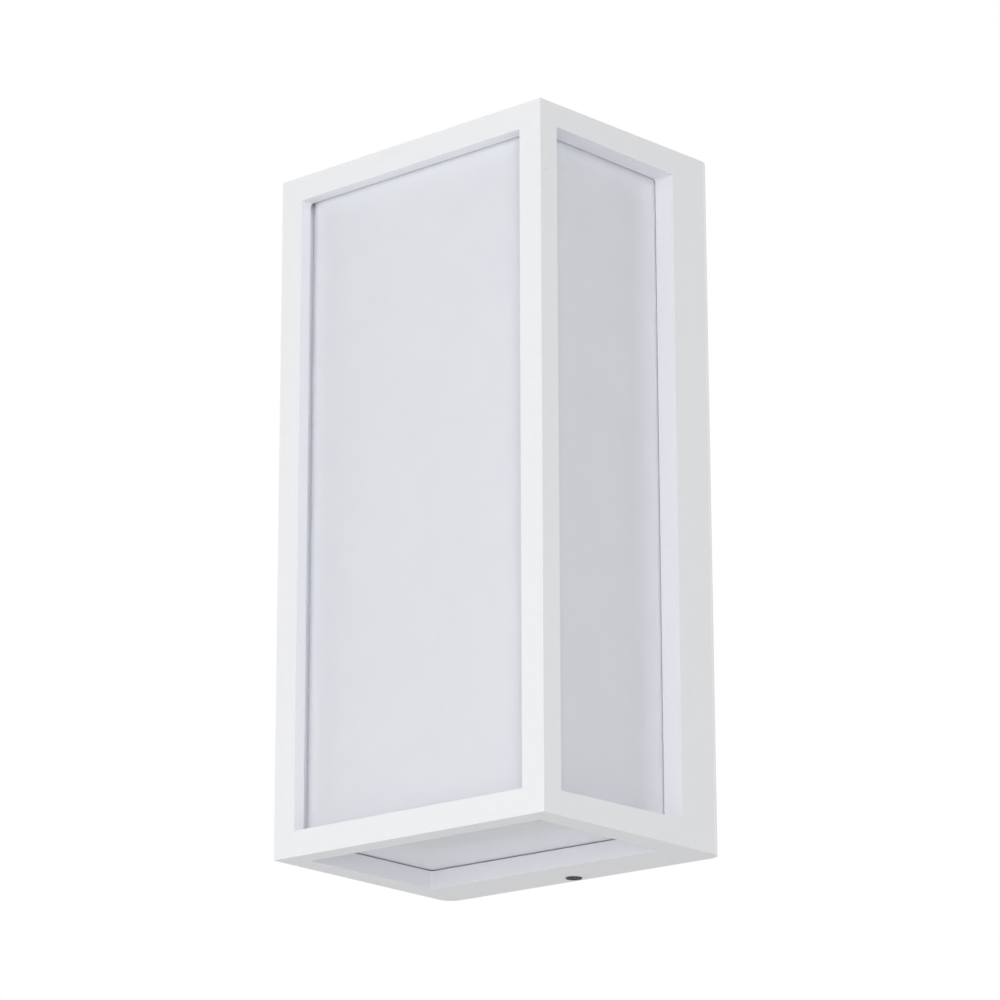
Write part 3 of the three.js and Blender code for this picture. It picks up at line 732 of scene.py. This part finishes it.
class LANTERN_OT_cage(bpy.types.Operator):
    """Builds the cast cage with its four windows"""

    bl_idname = "lantern.cage"
    bl_label = "Build the cage"

    def execute(self, context):
        s = context.scene.lantern_cage
        low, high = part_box("lantern_frame")
        depth = -low[1]
        slope = draft(s)
        cutters = self.hollows(s, slope, depth, high)
        cutters += self.windows(s, slope, depth)
        cutters += self.lock_holes(s, context.scene.lantern_screws, high)
        cutters += self.opal_screw_holes(s)
        bm = carve(cage_shell(s, slope, depth), cutters)
        soften(bm, s.edge_break, segments=3)
        self.ribs(bm, s, high)
        piece = finish_mesh(bm, "cast_cage", sharp=38.0)
        keep_flats(piece)
        place(piece, LANTERN, ["lantern_frame"], powder_coat())
        return {"FINISHED"}

    def hollows(self, s, slope, depth, high):
        """The inside of the cage, which follows its draft, and the wider mouth at the wall."""

        def drafted(x, z, y):
            shift = slope * (y + depth)
            return (x + math.copysign(shift, x), y, z + math.copysign(shift, z))

        half_x = s.front_width / 2 - s.side_wall
        half_z = s.front_height / 2 - s.end_wall
        inside = rounded_rectangle(-half_x, half_x, -half_z, half_z, s.inside_corner, 3)
        half_x = high[0] - s.edge_radius - s.rebate_land
        half_z = high[2] - s.rebate_end
        mouth = rounded_rectangle(-half_x, half_x, -half_z, half_z, s.mouth_corner, 5)
        return [
            prism_of(inside, drafted, (-depth + s.front_wall, OVER)),
            prism_of(mouth, upright, (-s.rebate_depth, OVER)),
        ]

    def windows(self, s, slope, depth):
        """The front, left, right and bottom windows."""
        half_x = s.front_width / 2
        half_z = s.front_height / 2
        x, z = half_x - s.front_bar, half_z - s.front_end_bar
        made = [cage_window(-x, x, -z, z, lambda u, v, d: (u, -depth + d, v), s.front_wall, s)]
        z = half_z - s.side_end_bar
        y0, y1 = -depth + s.side_front_bar, -s.side_wall_bar
        for side in SIDES:
            made.append(
                cage_window(
                    y0, y1, -z, z,
                    lambda u, v, d, i=side: (i * (half_x + slope * (u + depth) - d), u, v),
                    s.side_wall, s,
                )
            )
        x = half_x - s.bottom_side_bar
        y0, y1 = -depth + s.bottom_front_bar, -s.bottom_wall_bar
        made.append(
            cage_window(
                -x, x, y0, y1,
                lambda u, v, d: (u, v, -(half_z + slope * (v + depth) - d)),
                s.end_wall, s,
            )
        )
        return made

    def lock_holes(self, s, screws, high):
        """The counterbore and the hole of each locking screw."""
        holes = []
        shank = screws.lock_shank / 2 + s.shank_gap
        for name, end in ENDS.items():
            head_low, head_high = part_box(f"lock_screw_{name}")
            y = centre_of(f"lock_screw_{name}").y
            head = (head_high[0] - head_low[0]) / 2 + s.head_gap
            crown = max(abs(head_low[2]), abs(head_high[2]))
            outside = (0, y, end * (high[2] + OVER))
            seat = (0, y, end * (crown - screws.lock_head - s.shank_gap))
            inside = (0, y, end * (high[2] - s.rebate_end - OVER))
            holes += [rod_of(head, outside, seat, 40), rod_of(shank, outside, inside, 24)]
        return holes

    def opal_screw_holes(self, s):
        """A recess for the head and a pilot hole for each screw of the opal box."""
        holes = []
        for i in range(1, 5):
            screw_low, screw_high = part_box(f"diffuser_screw_{i}")
            x, _, z = centre_of(f"diffuser_screw_{i}")
            head = (screw_high[0] - screw_low[0]) / 2 + s.shank_gap
            start = (x, OVER, z)
            holes.append(rod_of(head, start, (x, -s.rebate_depth - s.head_gap, z), 20))
            holes.append(rod_of(s.pilot_radius, start, (x, screw_low[1] - OVER, z), 16))
        return holes

    def ribs(self, bm, s, high):
        """Two ribs that keep each clamp bar in place between them."""
        for name, end in ENDS.items():
            bar_low, bar_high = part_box(f"clamp_bar_{name}")
            inner = min(abs(bar_low[2]), abs(bar_high[2]))
            z0, z1 = sorted((end * inner, end * (high[2] - s.rebate_end + OVER)))
            y = (bar_low[1] + bar_high[1]) / 2
            for side in SIDES:
                near = bar_high[0] + s.rib_gap
                x0, x1 = sorted((side * near, side * (near + s.rib_thickness)))
                verts = block(bm, (x0, y - s.rib_depth / 2, z0), (x1, y + s.rib_depth / 2, z1))
                soften(bm, RIB_EDGE, faces={f for v in verts for f in v.link_faces})


# ---------- Opal box ----------


class LANTERN_OT_opal(bpy.types.Operator):
    """Builds the opal box with its flange"""

    bl_idname = "lantern.opal"
    bl_label = "Build the opal box"

    def execute(self, context):
        s = context.scene.lantern_opal
        low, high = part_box("diffuser")
        front, back = low[1], high[1]
        flange_front = back - s.flange
        shell = self.box_shape(s, front, 0.0, back - 0.01 * MM, 14)
        inside = self.box_shape(s, front, s.wall, back + 2 * OVER, 10)
        outline = rounded_rectangle(low[0], high[0], low[2], high[2], s.flange_corner)
        flange = prism_of(outline, upright, (flange_front, back))
        holes = []
        for i in range(1, 5):
            x, _, z = centre_of(f"diffuser_screw_{i}")
            holes.append(rod_of(s.hole_radius, (x, back + OVER, z), (x, flange_front - OVER, z), 20))
        bm = carve(combine(shell, [flange], "UNION"), [inside, *holes])
        soften(bm, 0.25 * MM, least=40.0)
        piece = finish_mesh(bm, "opal_box", sharp=40.0)
        keep_flats(piece)
        place(piece, LANTERN, ["diffuser"], opal_plastic())
        return {"FINISHED"}

    def box_shape(self, s, front, inset, back, steps):
        """The box at an inset from its outside, with rounded front edges and the cage's draft."""
        cage = bpy.context.scene.lantern_cage
        slope = draft(cage)
        cage_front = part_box("lantern_frame")[0][1]
        x = cage.front_width / 2 - cage.side_wall - s.clearance - inset
        z = cage.front_height / 2 - cage.end_wall - s.clearance - inset
        y = front + inset
        across, deep = s.corner_across - inset, s.corner_deep - inset
        plan = arc(-x + across, y + deep, across, deep, 180, 90, steps)
        plan += arc(x - across, y + deep, across, deep, 270, 90, steps)
        plan += [(x, back), (-x, back)]
        bm = prism_of(plan, lambda u, v, end: (u, v, end * z), SIDES)
        rims = [
            e
            for e in bm.edges
            if abs(abs(e.verts[0].co.z) - z) < 1e-7
            and e.verts[0].co.z == e.verts[1].co.z
            and not all(v.co.y > back - 1e-7 for v in e.verts)
        ]
        bevel(bm, rims, s.end_radius - inset * 0.9, 6)
        for v in bm.verts:
            shift = slope * (v.co.y - cage_front)
            v.co.x += math.copysign(shift, v.co.x)
            v.co.z += math.copysign(shift, v.co.z)
        return bm


# ---------- Screws ----------

PITCH = 0.2  # share of the shank's diameter
THREAD_DEPTH, FLANK, CREST = 0.55, 0.42, 0.56  # shares of the pitch
PAN_DOME, FLAT_DOME, RIM_ROUND, RECESS_DEPTH = 0.42, 0.1, 0.12, 0.62  # shares of the head's height
RECESS_REACH, RECESS_WIDTH = 0.29, 0.062  # shares of the head's width, from its middle


def screw_shank(reach, shank, neck_top, steps):
    """A shank with a helical thread from its seat at height 0 down to its tip."""
    pitch = shank * PITCH
    turns = max(2, int(reach / pitch) - 1)
    core = shank / 2 - pitch * THREAD_DEPTH
    points = []
    for i in range(turns):
        h = -reach + i * pitch
        points += [(core, h), (shank / 2, h + pitch * FLANK), (shank / 2, h + pitch * CREST)]
    points.append((core, -reach + turns * pitch))
    bm = bmesh.new()
    lathe(bm, points, steps, merge=False, rise=pitch)
    bmesh.ops.remove_doubles(bm, verts=bm.verts, dist=1e-6)
    for height, way in ((-reach + pitch, -1), (-pitch * 0.4, 1)):
        bmesh.ops.bisect_plane(
            bm,
            geom=bm.verts[:] + bm.edges[:] + bm.faces[:],
            plane_co=(0, 0, height),
            plane_no=(0, 0, way),
            clear_outer=True,
        )
    bmesh.ops.holes_fill(bm, edges=[e for e in bm.edges if e.is_boundary], sides=0)
    thread_end = min(-reach + (turns + 1) * pitch, -pitch * 0.4)
    rod(bm, core * 0.98, (0, 0, thread_end - pitch), (0, 0, neck_top), steps)
    bmesh.ops.create_cone(
        bm, cap_ends=True, segments=steps, radius1=core * 0.7, radius2=core, depth=pitch,
        matrix=Matrix.Translation((0, 0, -reach + pitch / 2)),
    )
    return bm


def screw_head(head, height, dome_share, steps):
    """A screw head on its seat at height 0, with a cross recess."""
    dome = height * dome_share
    edge = height * RIM_ROUND
    outline = [(0, 0)]
    outline += arc(head / 2 - edge, edge, edge, edge, -90, 90, 3)
    outline += arc(0, height - dome, head / 2, dome, 0, 90, 8)[:-1]
    outline.append((0, height))
    bm = bmesh.new()
    lathe(bm, outline, steps)
    bmesh.ops.remove_doubles(bm, verts=bm.verts, dist=1e-7)
    reach, width, sink = head * RECESS_REACH, head * RECESS_WIDTH, height * RECESS_DEPTH
    above = 0.2 * MM
    tools = []
    for turned in (False, True):
        recess = bmesh.new()
        rings = []
        for level, grow in ((height + above, 1.12), (height - sink, 0.66)):
            u, v = reach * grow, width * (1 + (grow - 1) / 2)
            if turned:
                u, v = v, u
            points = rounded_rectangle(-u, u, -v, v, min(u, v) * 0.45, 2)
            rings.append(add_ring(recess, points, lambda a, b, h=level: (a, b, h)))
        loft(recess, rings)
        tools.append(recess)
    deep = sink * 1.15 + above
    middle = bmesh.new()
    bmesh.ops.create_cone(
        middle, cap_ends=True, segments=16, radius1=width * 0.4, radius2=width * 2.0, depth=deep,
        matrix=Matrix.Translation((0, 0, height + above - deep / 2)),
    )
    bm = carve(bm, [*tools, middle])
    soften(bm, head * 0.008, least=38.0, segments=1)
    return bm


def threaded_screw(seat, tip, head, head_height, dome_share, shank, steps):
    """A screw with a helical thread and a cross recess, on the line from its seat to its tip."""
    seat, tip = Vector(seat), Vector(tip)
    bm = screw_shank((tip - seat).length, shank, 0.02 * head_height, steps)
    cap = screw_head(head, head_height, dome_share, steps)
    mesh = bpy.data.meshes.new("screw_head")
    cap.to_mesh(mesh)
    cap.free()
    bm.from_mesh(mesh)
    bpy.data.meshes.remove(mesh)
    turn = (seat - tip).to_track_quat("Z", "Y").to_matrix().to_4x4()
    bmesh.ops.transform(bm, matrix=Matrix.Translation(seat) @ turn, verts=bm.verts)
    return bm


# name: (axis number, way from seat to tip, shank in millimetres, body, slot, finish)
SCREWS = {
    "lock_screw_top": (2, -1, 4.0, "lock_screw_top", "black_steel", black_steel),
    "lock_screw_bottom": (2, 1, 4.0, "lock_screw_bottom", "black_steel", black_steel),
    **{
        f"terminal_screw_{pole}": (1, 1, 2.6, f"terminal_screw_{pole}", "brass", brass)
        for pole in POLES
    },
    "earth_screw": (1, 1, 4.0, WALL, "brass", brass),
    **{f"diffuser_screw_{i}": (1, -1, 2.5, LANTERN, "zinc_steel", zinc_steel) for i in range(1, 5)},
    **{f"driver_screw_{i}": (1, 1, 3.0, WALL, "zinc_steel", zinc_steel) for i in (1, 2)},
    **{f"panel_screw_{i}": (1, 1, 3.0, WALL, "zinc_steel", zinc_steel) for i in range(1, 5)},
    **{f"board_screw_{end}": (1, 1, 2.5, WALL, "zinc_steel", zinc_steel) for end in ENDS},
}
# first word of the name: head height in millimetres
HEAD_HEIGHTS = {
    "lock": 1.9,
    "terminal": 1.6,
    "earth": 2.6,
    "diffuser": 1.7,
    "driver": 1.8,
    "panel": 1.8,
    "board": 1.6,
}


class LANTERN_OT_screws(bpy.types.Operator):
    """Builds every screw with its thread and cross recess"""

    bl_idname = "lantern.screws"
    bl_label = "Build the screws"

    def execute(self, context):
        steps = context.scene.lantern_screws.steps
        for node, (axis, way, shank, body, slot, finish) in SCREWS.items():
            low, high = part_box(node)
            kind = node.split("_")[0]
            head_height = HEAD_HEIGHTS[kind] * MM
            dome_share = FLAT_DOME if kind == "lock" else PAN_DOME
            crown, end = (low[axis], high[axis]) if way > 0 else (high[axis], low[axis])
            seat, tip = centre_of(node), centre_of(node)
            seat[axis], tip[axis] = crown + way * head_height, end
            bm = threaded_screw(
                seat, tip, high[0] - low[0], head_height, dome_share, shank * MM, steps
            )
            piece = finish_mesh(bm, f"{node}_turned", sharp=40.0, weld=1e-8)
            place(piece, body, [node], finish())
        return {"FINISHED"}


# ---------- Wall tray, driver and terminals ----------


def crafted(node, name, body, finish, width, segments=2, sharp=42.0, subdivide=0):
    """A piece of a CAD node's shape with its flat faces whole and its edges rounded."""
    bm = bmesh.new()
    bm.from_mesh(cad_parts[node].data)
    bmesh.ops.remove_doubles(bm, verts=bm.verts, dist=1e-6)
    if not subdivide:
        bmesh.ops.dissolve_limit(
            bm,
            angle_limit=math.radians(0.5),
            verts=bm.verts,
            edges=bm.edges,
            use_dissolve_boundaries=False,
        )
    if width:
        soften(bm, width * MM, least=40.0, segments=segments)
    piece = finish_mesh(bm, name, sharp=sharp)
    if subdivide:
        rounder = piece.modifiers.new("Rounder", "SUBSURF")
        rounder.levels = rounder.render_levels = subdivide
    else:
        keep_flats(piece)
    return place(piece, body, [node], finish)


class LANTERN_OT_tray(bpy.types.Operator):
    """Builds the pressed wall tray, its seals, the clamp bars and the cable grommet"""

    bl_idname = "lantern.tray"
    bl_label = "Build the wall tray"

    def execute(self, context):
        crafted("wall_tray", "pressed_tray", WALL, painted_sheet(), 0.28)
        crafted("rim_seal", "rim_gasket", WALL, rubber(), 0.3)
        crafted("diffuser_seal", "flange_gasket", LANTERN, rubber(), 0.25)
        for name in ENDS:
            crafted(f"clamp_bar_{name}", f"clamp_strip_{name}", LANTERN, zinc_steel(), 0.3)
        self.grommet()
        return {"FINISHED"}

    def grommet(self):
        """The rubber grommet, turned from its profile, with a groove that grips the sheet."""
        low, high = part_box("cable_grommet")
        middle = centre_of("cable_grommet")
        depth = high[1] - low[1]
        outer = (high[0] - low[0]) / 2
        bore, neck, lip = 4.5 * MM, outer - 2.9 * MM, 1.6 * MM
        edge, bead = 0.5 * MM, 0.6 * MM
        points = [(bore, 0), (outer - edge, 0)]
        points += arc(outer - edge, edge, edge, edge, -90, 90, 4)[1:]
        points += [(outer, lip), (neck, lip), (neck, depth - lip), (outer, depth - lip)]
        points += [(outer - 0.1 * MM, depth - lip + 0.35 * MM), (bore + 1.4 * MM, depth - 0.15 * MM)]
        points += arc(bore + bead, depth - bead, bead, bead, 60, 120, 4)
        bm = bmesh.new()
        lathe(bm, points, 64, closed=True)
        turn = Vector((0, -1, 0)).to_track_quat("Z", "Y").to_matrix().to_4x4()
        back = Matrix.Translation((middle.x, high[1], middle.z))
        bmesh.ops.transform(bm, matrix=back @ turn, verts=bm.verts)
        piece = finish_mesh(bm, "grommet", sharp=40.0)
        place(piece, WALL, ["cable_grommet"], rubber())


class LANTERN_OT_driver(bpy.types.Operator):
    """Builds the driver, the terminal block and the earth lug"""

    bl_idname = "lantern.driver"
    bl_label = "Build the driver and terminals"

    def execute(self, context):
        crafted("driver_case", "driver_box", WALL, moulded_plastic(), 0.6, segments=3)
        self.lid()
        self.terminals()
        crafted("earth_lug", "earth_eyelet", WALL, brass(), 0.12)
        return {"FINISHED"}

    def lid(self):
        """The driver's lid, with a shallow pressed field."""
        low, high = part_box("driver_lid")
        bm = bmesh.new()
        block(bm, low, high)
        front = min(bm.faces, key=lambda f: f.calc_center_median().y)
        bmesh.ops.inset_region(bm, faces=[front], thickness=3.5 * MM, depth=0.0)
        bmesh.ops.inset_region(bm, faces=[front], thickness=0.5 * MM, depth=-0.5 * MM)
        soften(bm, 0.35 * MM, least=25.0)
        piece = finish_mesh(bm, "driver_cover", sharp=40.0)
        keep_flats(piece)
        place(piece, WALL, ["driver_lid"], moulded_plastic())

    def terminals(self):
        """The three-pole block: wire mouths, screw wells and grooves between the poles."""
        low, high = (Vector(v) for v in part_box("terminal_block"))
        mouth_y = high.y - 7.8 * MM
        mouth, groove, groove_depth = 2.2 * MM, 0.5 * MM, 3.0 * MM
        cutters = []
        screws = [f"terminal_screw_{pole}" for pole in POLES]
        for screw in screws:
            screw_low, screw_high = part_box(screw)
            x, _, z = centre_of(screw)
            well = (screw_high[0] - screw_low[0]) / 2 + 0.3 * MM
            cutters.append(rod_of(mouth, (x, mouth_y, low.z - OVER), (x, mouth_y, high.z + OVER)))
            cutters.append(rod_of(well, (x, low.y - OVER, z), (x, mouth_y, z)))
        for first, second in zip(screws, screws[1:]):
            x = (centre_of(first).x + centre_of(second).x) / 2
            cutters.append(
                block_of(
                    (x - groove, low.y - OVER, low.z - OVER),
                    (x + groove, low.y + groove_depth, high.z + OVER),
                )
            )
        bm = carve(block_of(low, high), cutters)
        soften(bm, 0.25 * MM, least=40.0)
        piece = finish_mesh(bm, "three_pole_block", sharp=40.0)
        keep_flats(piece)
        place(piece, WALL, ["terminal_block"], moulded_plastic())


# ---------- LED panel ----------

COPPER = 0.07 * MM
TRACK, FEED, STUB, PAD = 1.6 * MM, 0.9 * MM, 0.85 * MM, 1.9 * MM  # half widths
TRACK_START = 3.4 * MM  # from the middle of a diode
PAD_LEVEL, PAD_HALF = 3.0 * MM, 0.55 * MM
TUCK = 0.3 * MM  # how far a stub runs in under its feed
FEED_LEVELS = (80.2, 82.0)  # millimetres above the middle of the board
RETURN_LEVELS = (6.6, 4.8)  # millimetres below the lowest row
SILICONE = ((0.985, 0.34), (0.985, 0.14), (0.9, 0.1), (0.6, 0.07), (0.3, 0.06))  # share, depth


class LANTERN_OT_panel_parts(bpy.types.Operator):
    """Builds the LED panel, its pillars, the board, the diodes and the connector"""

    bl_idname = "lantern.panel_parts"
    bl_label = "Build the LED panel"

    def execute(self, context):
        crafted("led_panel", "folded_panel", WALL, painted_sheet(), 0.25)
        for i in range(1, 5):
            self.pillar(i)
        self.board()
        for i in range(1, 13):
            self.diode(i)
        self.connector()
        return {"FINISHED"}

    def pillar(self, number):
        """A hexagon pillar with chamfered ends and a threaded hole."""
        low, high = (Vector(v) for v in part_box(f"standoff_{number}"))
        x, _, z = (low + high) / 2
        bm = rod_of((high.z - low.z) / 2, (x, high.y, z), (x, low.y, z), 6)
        hole = rod_of(1.6 * MM, (x, low.y - OVER, z), (x, low.y + 9 * MM, z))
        bm = carve(bm, [hole])
        soften(bm, 0.35 * MM, least=50.0, segments=1)
        piece = finish_mesh(bm, f"hexagon_pillar_{number}", sharp=30.0)
        place(piece, WALL, [f"standoff_{number}"], zinc_steel())

    def board(self):
        """The circuit board: rounded corners, screw holes, raised copper tracks and tinned pads."""
        low, high = (Vector(v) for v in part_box("led_board"))
        outline = rounded_rectangle(low.x, high.x, low.z, high.z, 2.0 * MM)
        holes = []
        for end in ENDS:
            z = centre_of(f"board_screw_{end}").z
            holes.append(rod_of(1.55 * MM, (0, high.y + OVER, z), (0, low.y - OVER, z)))
        bm = carve(prism_of(outline, upright, (low.y, high.y)), holes)
        soften(bm, 0.12 * MM, least=50.0, segments=1)

        def raised(x0, x1, z0, z1, height=COPPER):
            verts = block(bm, (x0, low.y - height, z0), (x1, low.y + 0.02 * MM, z1))
            return {f for v in verts for f in v.link_faces}

        tinned = []
        rows = sorted({round(centre_of(f"led_chip_{i:02d}").z, 5) for i in range(1, 13)})
        column = abs(centre_of("led_chip_01").x)
        feed_low, feed_high = (v * MM for v in FEED_LEVELS)
        return_low, return_high = (rows[0] - v * MM for v in RETURN_LEVELS)
        for side in SIDES:
            x = side * column
            for lower, upper in zip(rows, rows[1:]):
                raised(x - TRACK, x + TRACK, lower + TRACK_START, upper - TRACK_START)
            for z in rows:
                for end in ENDS.values():
                    pad = z + end * PAD_LEVEL
                    tinned += raised(x - PAD, x + PAD, pad - PAD_HALF, pad + PAD_HALF, COPPER * 1.2)
            feed = sorted((side * 2.4 * MM, x + side * FEED))
            raised(*feed, feed_low, feed_high)
            stub = (x - STUB, x + STUB)
            raised(*stub, rows[-1] + TRACK_START, feed_low + TUCK, COPPER * 0.9)
            raised(*stub, return_high - TUCK, rows[0] - TRACK_START, COPPER * 0.9)
        raised(-column - FEED, column + FEED, return_low, return_high)
        for face in tinned:
            face.material_index = 1
        piece = finish_mesh(bm, "diode_board", sharp=30.0, weld=1e-8)
        keep_flats(piece)
        place(piece, WALL, ["led_board"], solder_mask())
        piece.data.materials.append(zinc_steel())

    def diode(self, number):
        """A diode: a white package with a round well of yellow silicone and a notched corner."""
        node = f"led_chip_{number:02d}"
        low, high = (Vector(v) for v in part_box(node))
        x, _, z = (low + high) / 2
        radius = (high.x - low.x) / 2 - 0.5 * MM
        well_floor = low.y + 0.3 * MM
        well = rod_of(radius, (x, low.y - OVER, z), (x, well_floor, z), 32)
        notch = rod_of(0.6 * MM, (high.x, low.y - OVER, high.z), (high.x, well_floor, high.z), 4)
        bm = carve(block_of(low, high), [well, notch])
        soften(bm, 0.07 * MM, least=50.0, segments=1)
        package = set(bm.faces)
        rings = []
        for share, sunk in SILICONE:
            points = arc(x, z, radius * share, radius * share, 0, 360, 32)[:-1]
            rings.append(add_ring(bm, points, lambda u, v, y=low.y + sunk * MM: (u, y, v)))
        loft(bm, rings)
        for face in bm.faces:
            face.material_index = 0 if face in package else 1
        piece = finish_mesh(bm, f"diode_{number:02d}", sharp=35.0)
        place(piece, WALL, [node], moulded_plastic())
        piece.data.materials.append(phosphor())

    def connector(self):
        """The connector: a body with two wire entries on top and a window in front."""
        low, high = (Vector(v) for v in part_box("led_connector"))
        x, y, z = (low + high) / 2
        entry, wire_x = 1.15 * MM, 1.8 * MM
        cutters = [
            rod_of(entry, (side * wire_x, y, high.z + OVER), (side * wire_x, y, high.z - 2.5 * MM), 20)
            for side in SIDES
        ]
        cutters.append(
            block_of(
                (x - 2.6 * MM, low.y - OVER, z - 1.6 * MM),
                (x + 2.6 * MM, low.y + 0.6 * MM, z + 0.2 * MM),
            )
        )
        bm = carve(block_of(low, high), cutters)
        soften(bm, 0.2 * MM, least=50.0)
        piece = finish_mesh(bm, "plug_connector", sharp=40.0)
        keep_flats(piece)
        place(piece, WALL, ["led_connector"], moulded_plastic())


# ---------- Internal wires ----------

# node: (name, slot, colour, stripe colour or nothing)
INSULATION = {
    "earth_wire": ("Green", "green_insulation", (0.06, 0.27, 0.03), (0.80, 0.62, 0.03)),
    "neutral_wire": ("Blue", "blue_insulation", (0.02, 0.11, 0.36), None),
    "live_wire": ("Brown", "brown_insulation", (0.13, 0.045, 0.015), None),
    "led_wire_plus": ("Red", "red_insulation", (0.42, 0.016, 0.01), None),
    "led_wire_minus": ("Black", "black_insulation", (0.012, 0.012, 0.013), None),
}


class LANTERN_OT_wires(bpy.types.Operator):
    """Builds the internal wires as smooth round leads"""

    bl_idname = "lantern.wires"
    bl_label = "Build the internal wires"

    def execute(self, context):
        for node, (name, slot, base, stripe) in INSULATION.items():
            finish = insulation(name, base, stripe)
            crafted(node, f"{node}_lead", WALL, finish, 0.0, sharp=80.0, subdivide=1)
        return {"FINISHED"}


# ---------- Studio ----------


class LANTERN_OT_studio(bpy.types.Operator):
    """Sets the floor, the lights, the surroundings and the camera"""

    bl_idname = "lantern.studio"
    bl_label = "Set the studio"

    def execute(self, context):
        s = context.scene.lantern_studio
        scene = context.scene
        scene.view_settings.view_transform = "Standard"
        scene.view_settings.look = "None"

        bm = bmesh.new()
        bmesh.ops.create_grid(bm, x_segments=1, y_segments=1, size=6.0)
        down = Matrix.Translation((0, 0, -s.floor_depth))
        bmesh.ops.transform(bm, matrix=down, verts=bm.verts)
        floor = finish_mesh(bm, "studio_floor")
        paint = material(
            "Studio floor", (0.88, 0.88, 0.88), 0.8, bump=0.05, grain=(60.0, 8.0, 5.0), dust=0.0
        )
        floor.data.materials.append(paint)

        world = bpy.data.worlds.new("Studio surroundings")
        scene.world = world
        world.use_nodes = True
        tree = world.node_tree
        tree.nodes.clear()
        output = tree.nodes.new("ShaderNodeOutputWorld")
        seen = tree.nodes.new("ShaderNodeBackground")
        seen.inputs["Color"].default_value = (1.0, 1.0, 1.0, 1.0)
        light = tree.nodes.new("ShaderNodeBackground")
        light.inputs["Color"].default_value = (1.0, 1.0, 1.0, 1.0)
        light.inputs["Strength"].default_value = s.ambient
        path = tree.nodes.new("ShaderNodeLightPath")
        choice = tree.nodes.new("ShaderNodeMixShader")
        tree.links.new(path.outputs["Is Camera Ray"], choice.inputs[0])
        tree.links.new(light.outputs[0], choice.inputs[1])
        tree.links.new(seen.outputs[0], choice.inputs[2])
        tree.links.new(choice.outputs[0], output.inputs["Surface"])

        def softbox(name, power, where, size):
            data = bpy.data.lights.new(name, "AREA")
            data.energy = power
            data.shape = "RECTANGLE"
            data.size, data.size_y = size
            lamp = bpy.data.objects.new(name, data)
            lamp.location = where
            lamp.rotation_euler = (-Vector(where)).to_track_quat("-Z", "Y").to_euler()
            scene.collection.objects.link(lamp)

        softbox("Right light", s.right, (1.6, -1.4, 0.0), (1.2, 1.6))
        softbox("Left light", s.left, (-2.2, -0.3, 0.0), (1.4, 1.6))
        softbox("Front light", s.front, (0.0, -2.2, 0.0), (1.6, 1.6))
        softbox("Back light", s.back, (0.5, 2.2, 0.5), (1.6, 1.6))

        overhead = bpy.data.lights.new("Top light", "SUN")
        overhead.energy = s.top
        overhead.angle = math.radians(50)
        scene.collection.objects.link(bpy.data.objects.new("Top light", overhead))

        lens = bpy.data.cameras.new("Camera")
        lens.lens = s.lens
        lens.sensor_width = 36.0
        lens.clip_start, lens.clip_end = 0.01, 50.0
        camera = bpy.data.objects.new("Camera", lens)
        camera.location = (0.90879, -1.07972, -0.40087)
        camera.rotation_euler = tuple(math.radians(a) for a in (106.368, 0.143, 41.331))
        scene.collection.objects.link(camera)
        scene.camera = camera
        return {"FINISHED"}


# ---------- Panel and run ----------

OPERATORS = (
    LANTERN_OT_cage,
    LANTERN_OT_opal,
    LANTERN_OT_screws,
    LANTERN_OT_tray,
    LANTERN_OT_driver,
    LANTERN_OT_panel_parts,
    LANTERN_OT_wires,
    LANTERN_OT_studio,
)


class LANTERN_PT_panel(bpy.types.Panel):
    """Sizes, finishes and building steps of the wall lantern"""

    bl_idname = "LANTERN_PT_panel"
    bl_label = "Wall lantern"
    bl_space_type = "VIEW_3D"
    bl_region_type = "UI"
    bl_category = "Wall lantern"

    def draw(self, context):
        layout = self.layout
        for name in GROUPS:
            box = layout.box()
            settings = getattr(context.scene, name)
            for prop in settings.bl_rna.properties:
                if prop.identifier not in ("rna_type", "name"):
                    box.prop(settings, prop.identifier)
        for step in OPERATORS:
            layout.operator(step.bl_idname)


def register():
    for group in GROUPS.values():
        bpy.utils.register_class(group)
    for name, group in GROUPS.items():
        setattr(bpy.types.Scene, name, PointerProperty(type=group))
    for step in OPERATORS:
        bpy.utils.register_class(step)
    bpy.utils.register_class(LANTERN_PT_panel)


def unregister():
    bpy.utils.unregister_class(LANTERN_PT_panel)
    for step in reversed(OPERATORS):
        bpy.utils.unregister_class(step)
    for name in GROUPS:
        delattr(bpy.types.Scene, name)
    for group in reversed(GROUPS.values()):
        bpy.utils.unregister_class(group)


def main():
    register()
    bpy.ops.lantern.cage()
    bpy.ops.lantern.opal()
    bpy.ops.lantern.screws()
    bpy.ops.lantern.tray()
    bpy.ops.lantern.driver()
    bpy.ops.lantern.panel_parts()
    bpy.ops.lantern.wires()
    bpy.ops.lantern.studio()


if __name__ == "__main__":
    main()
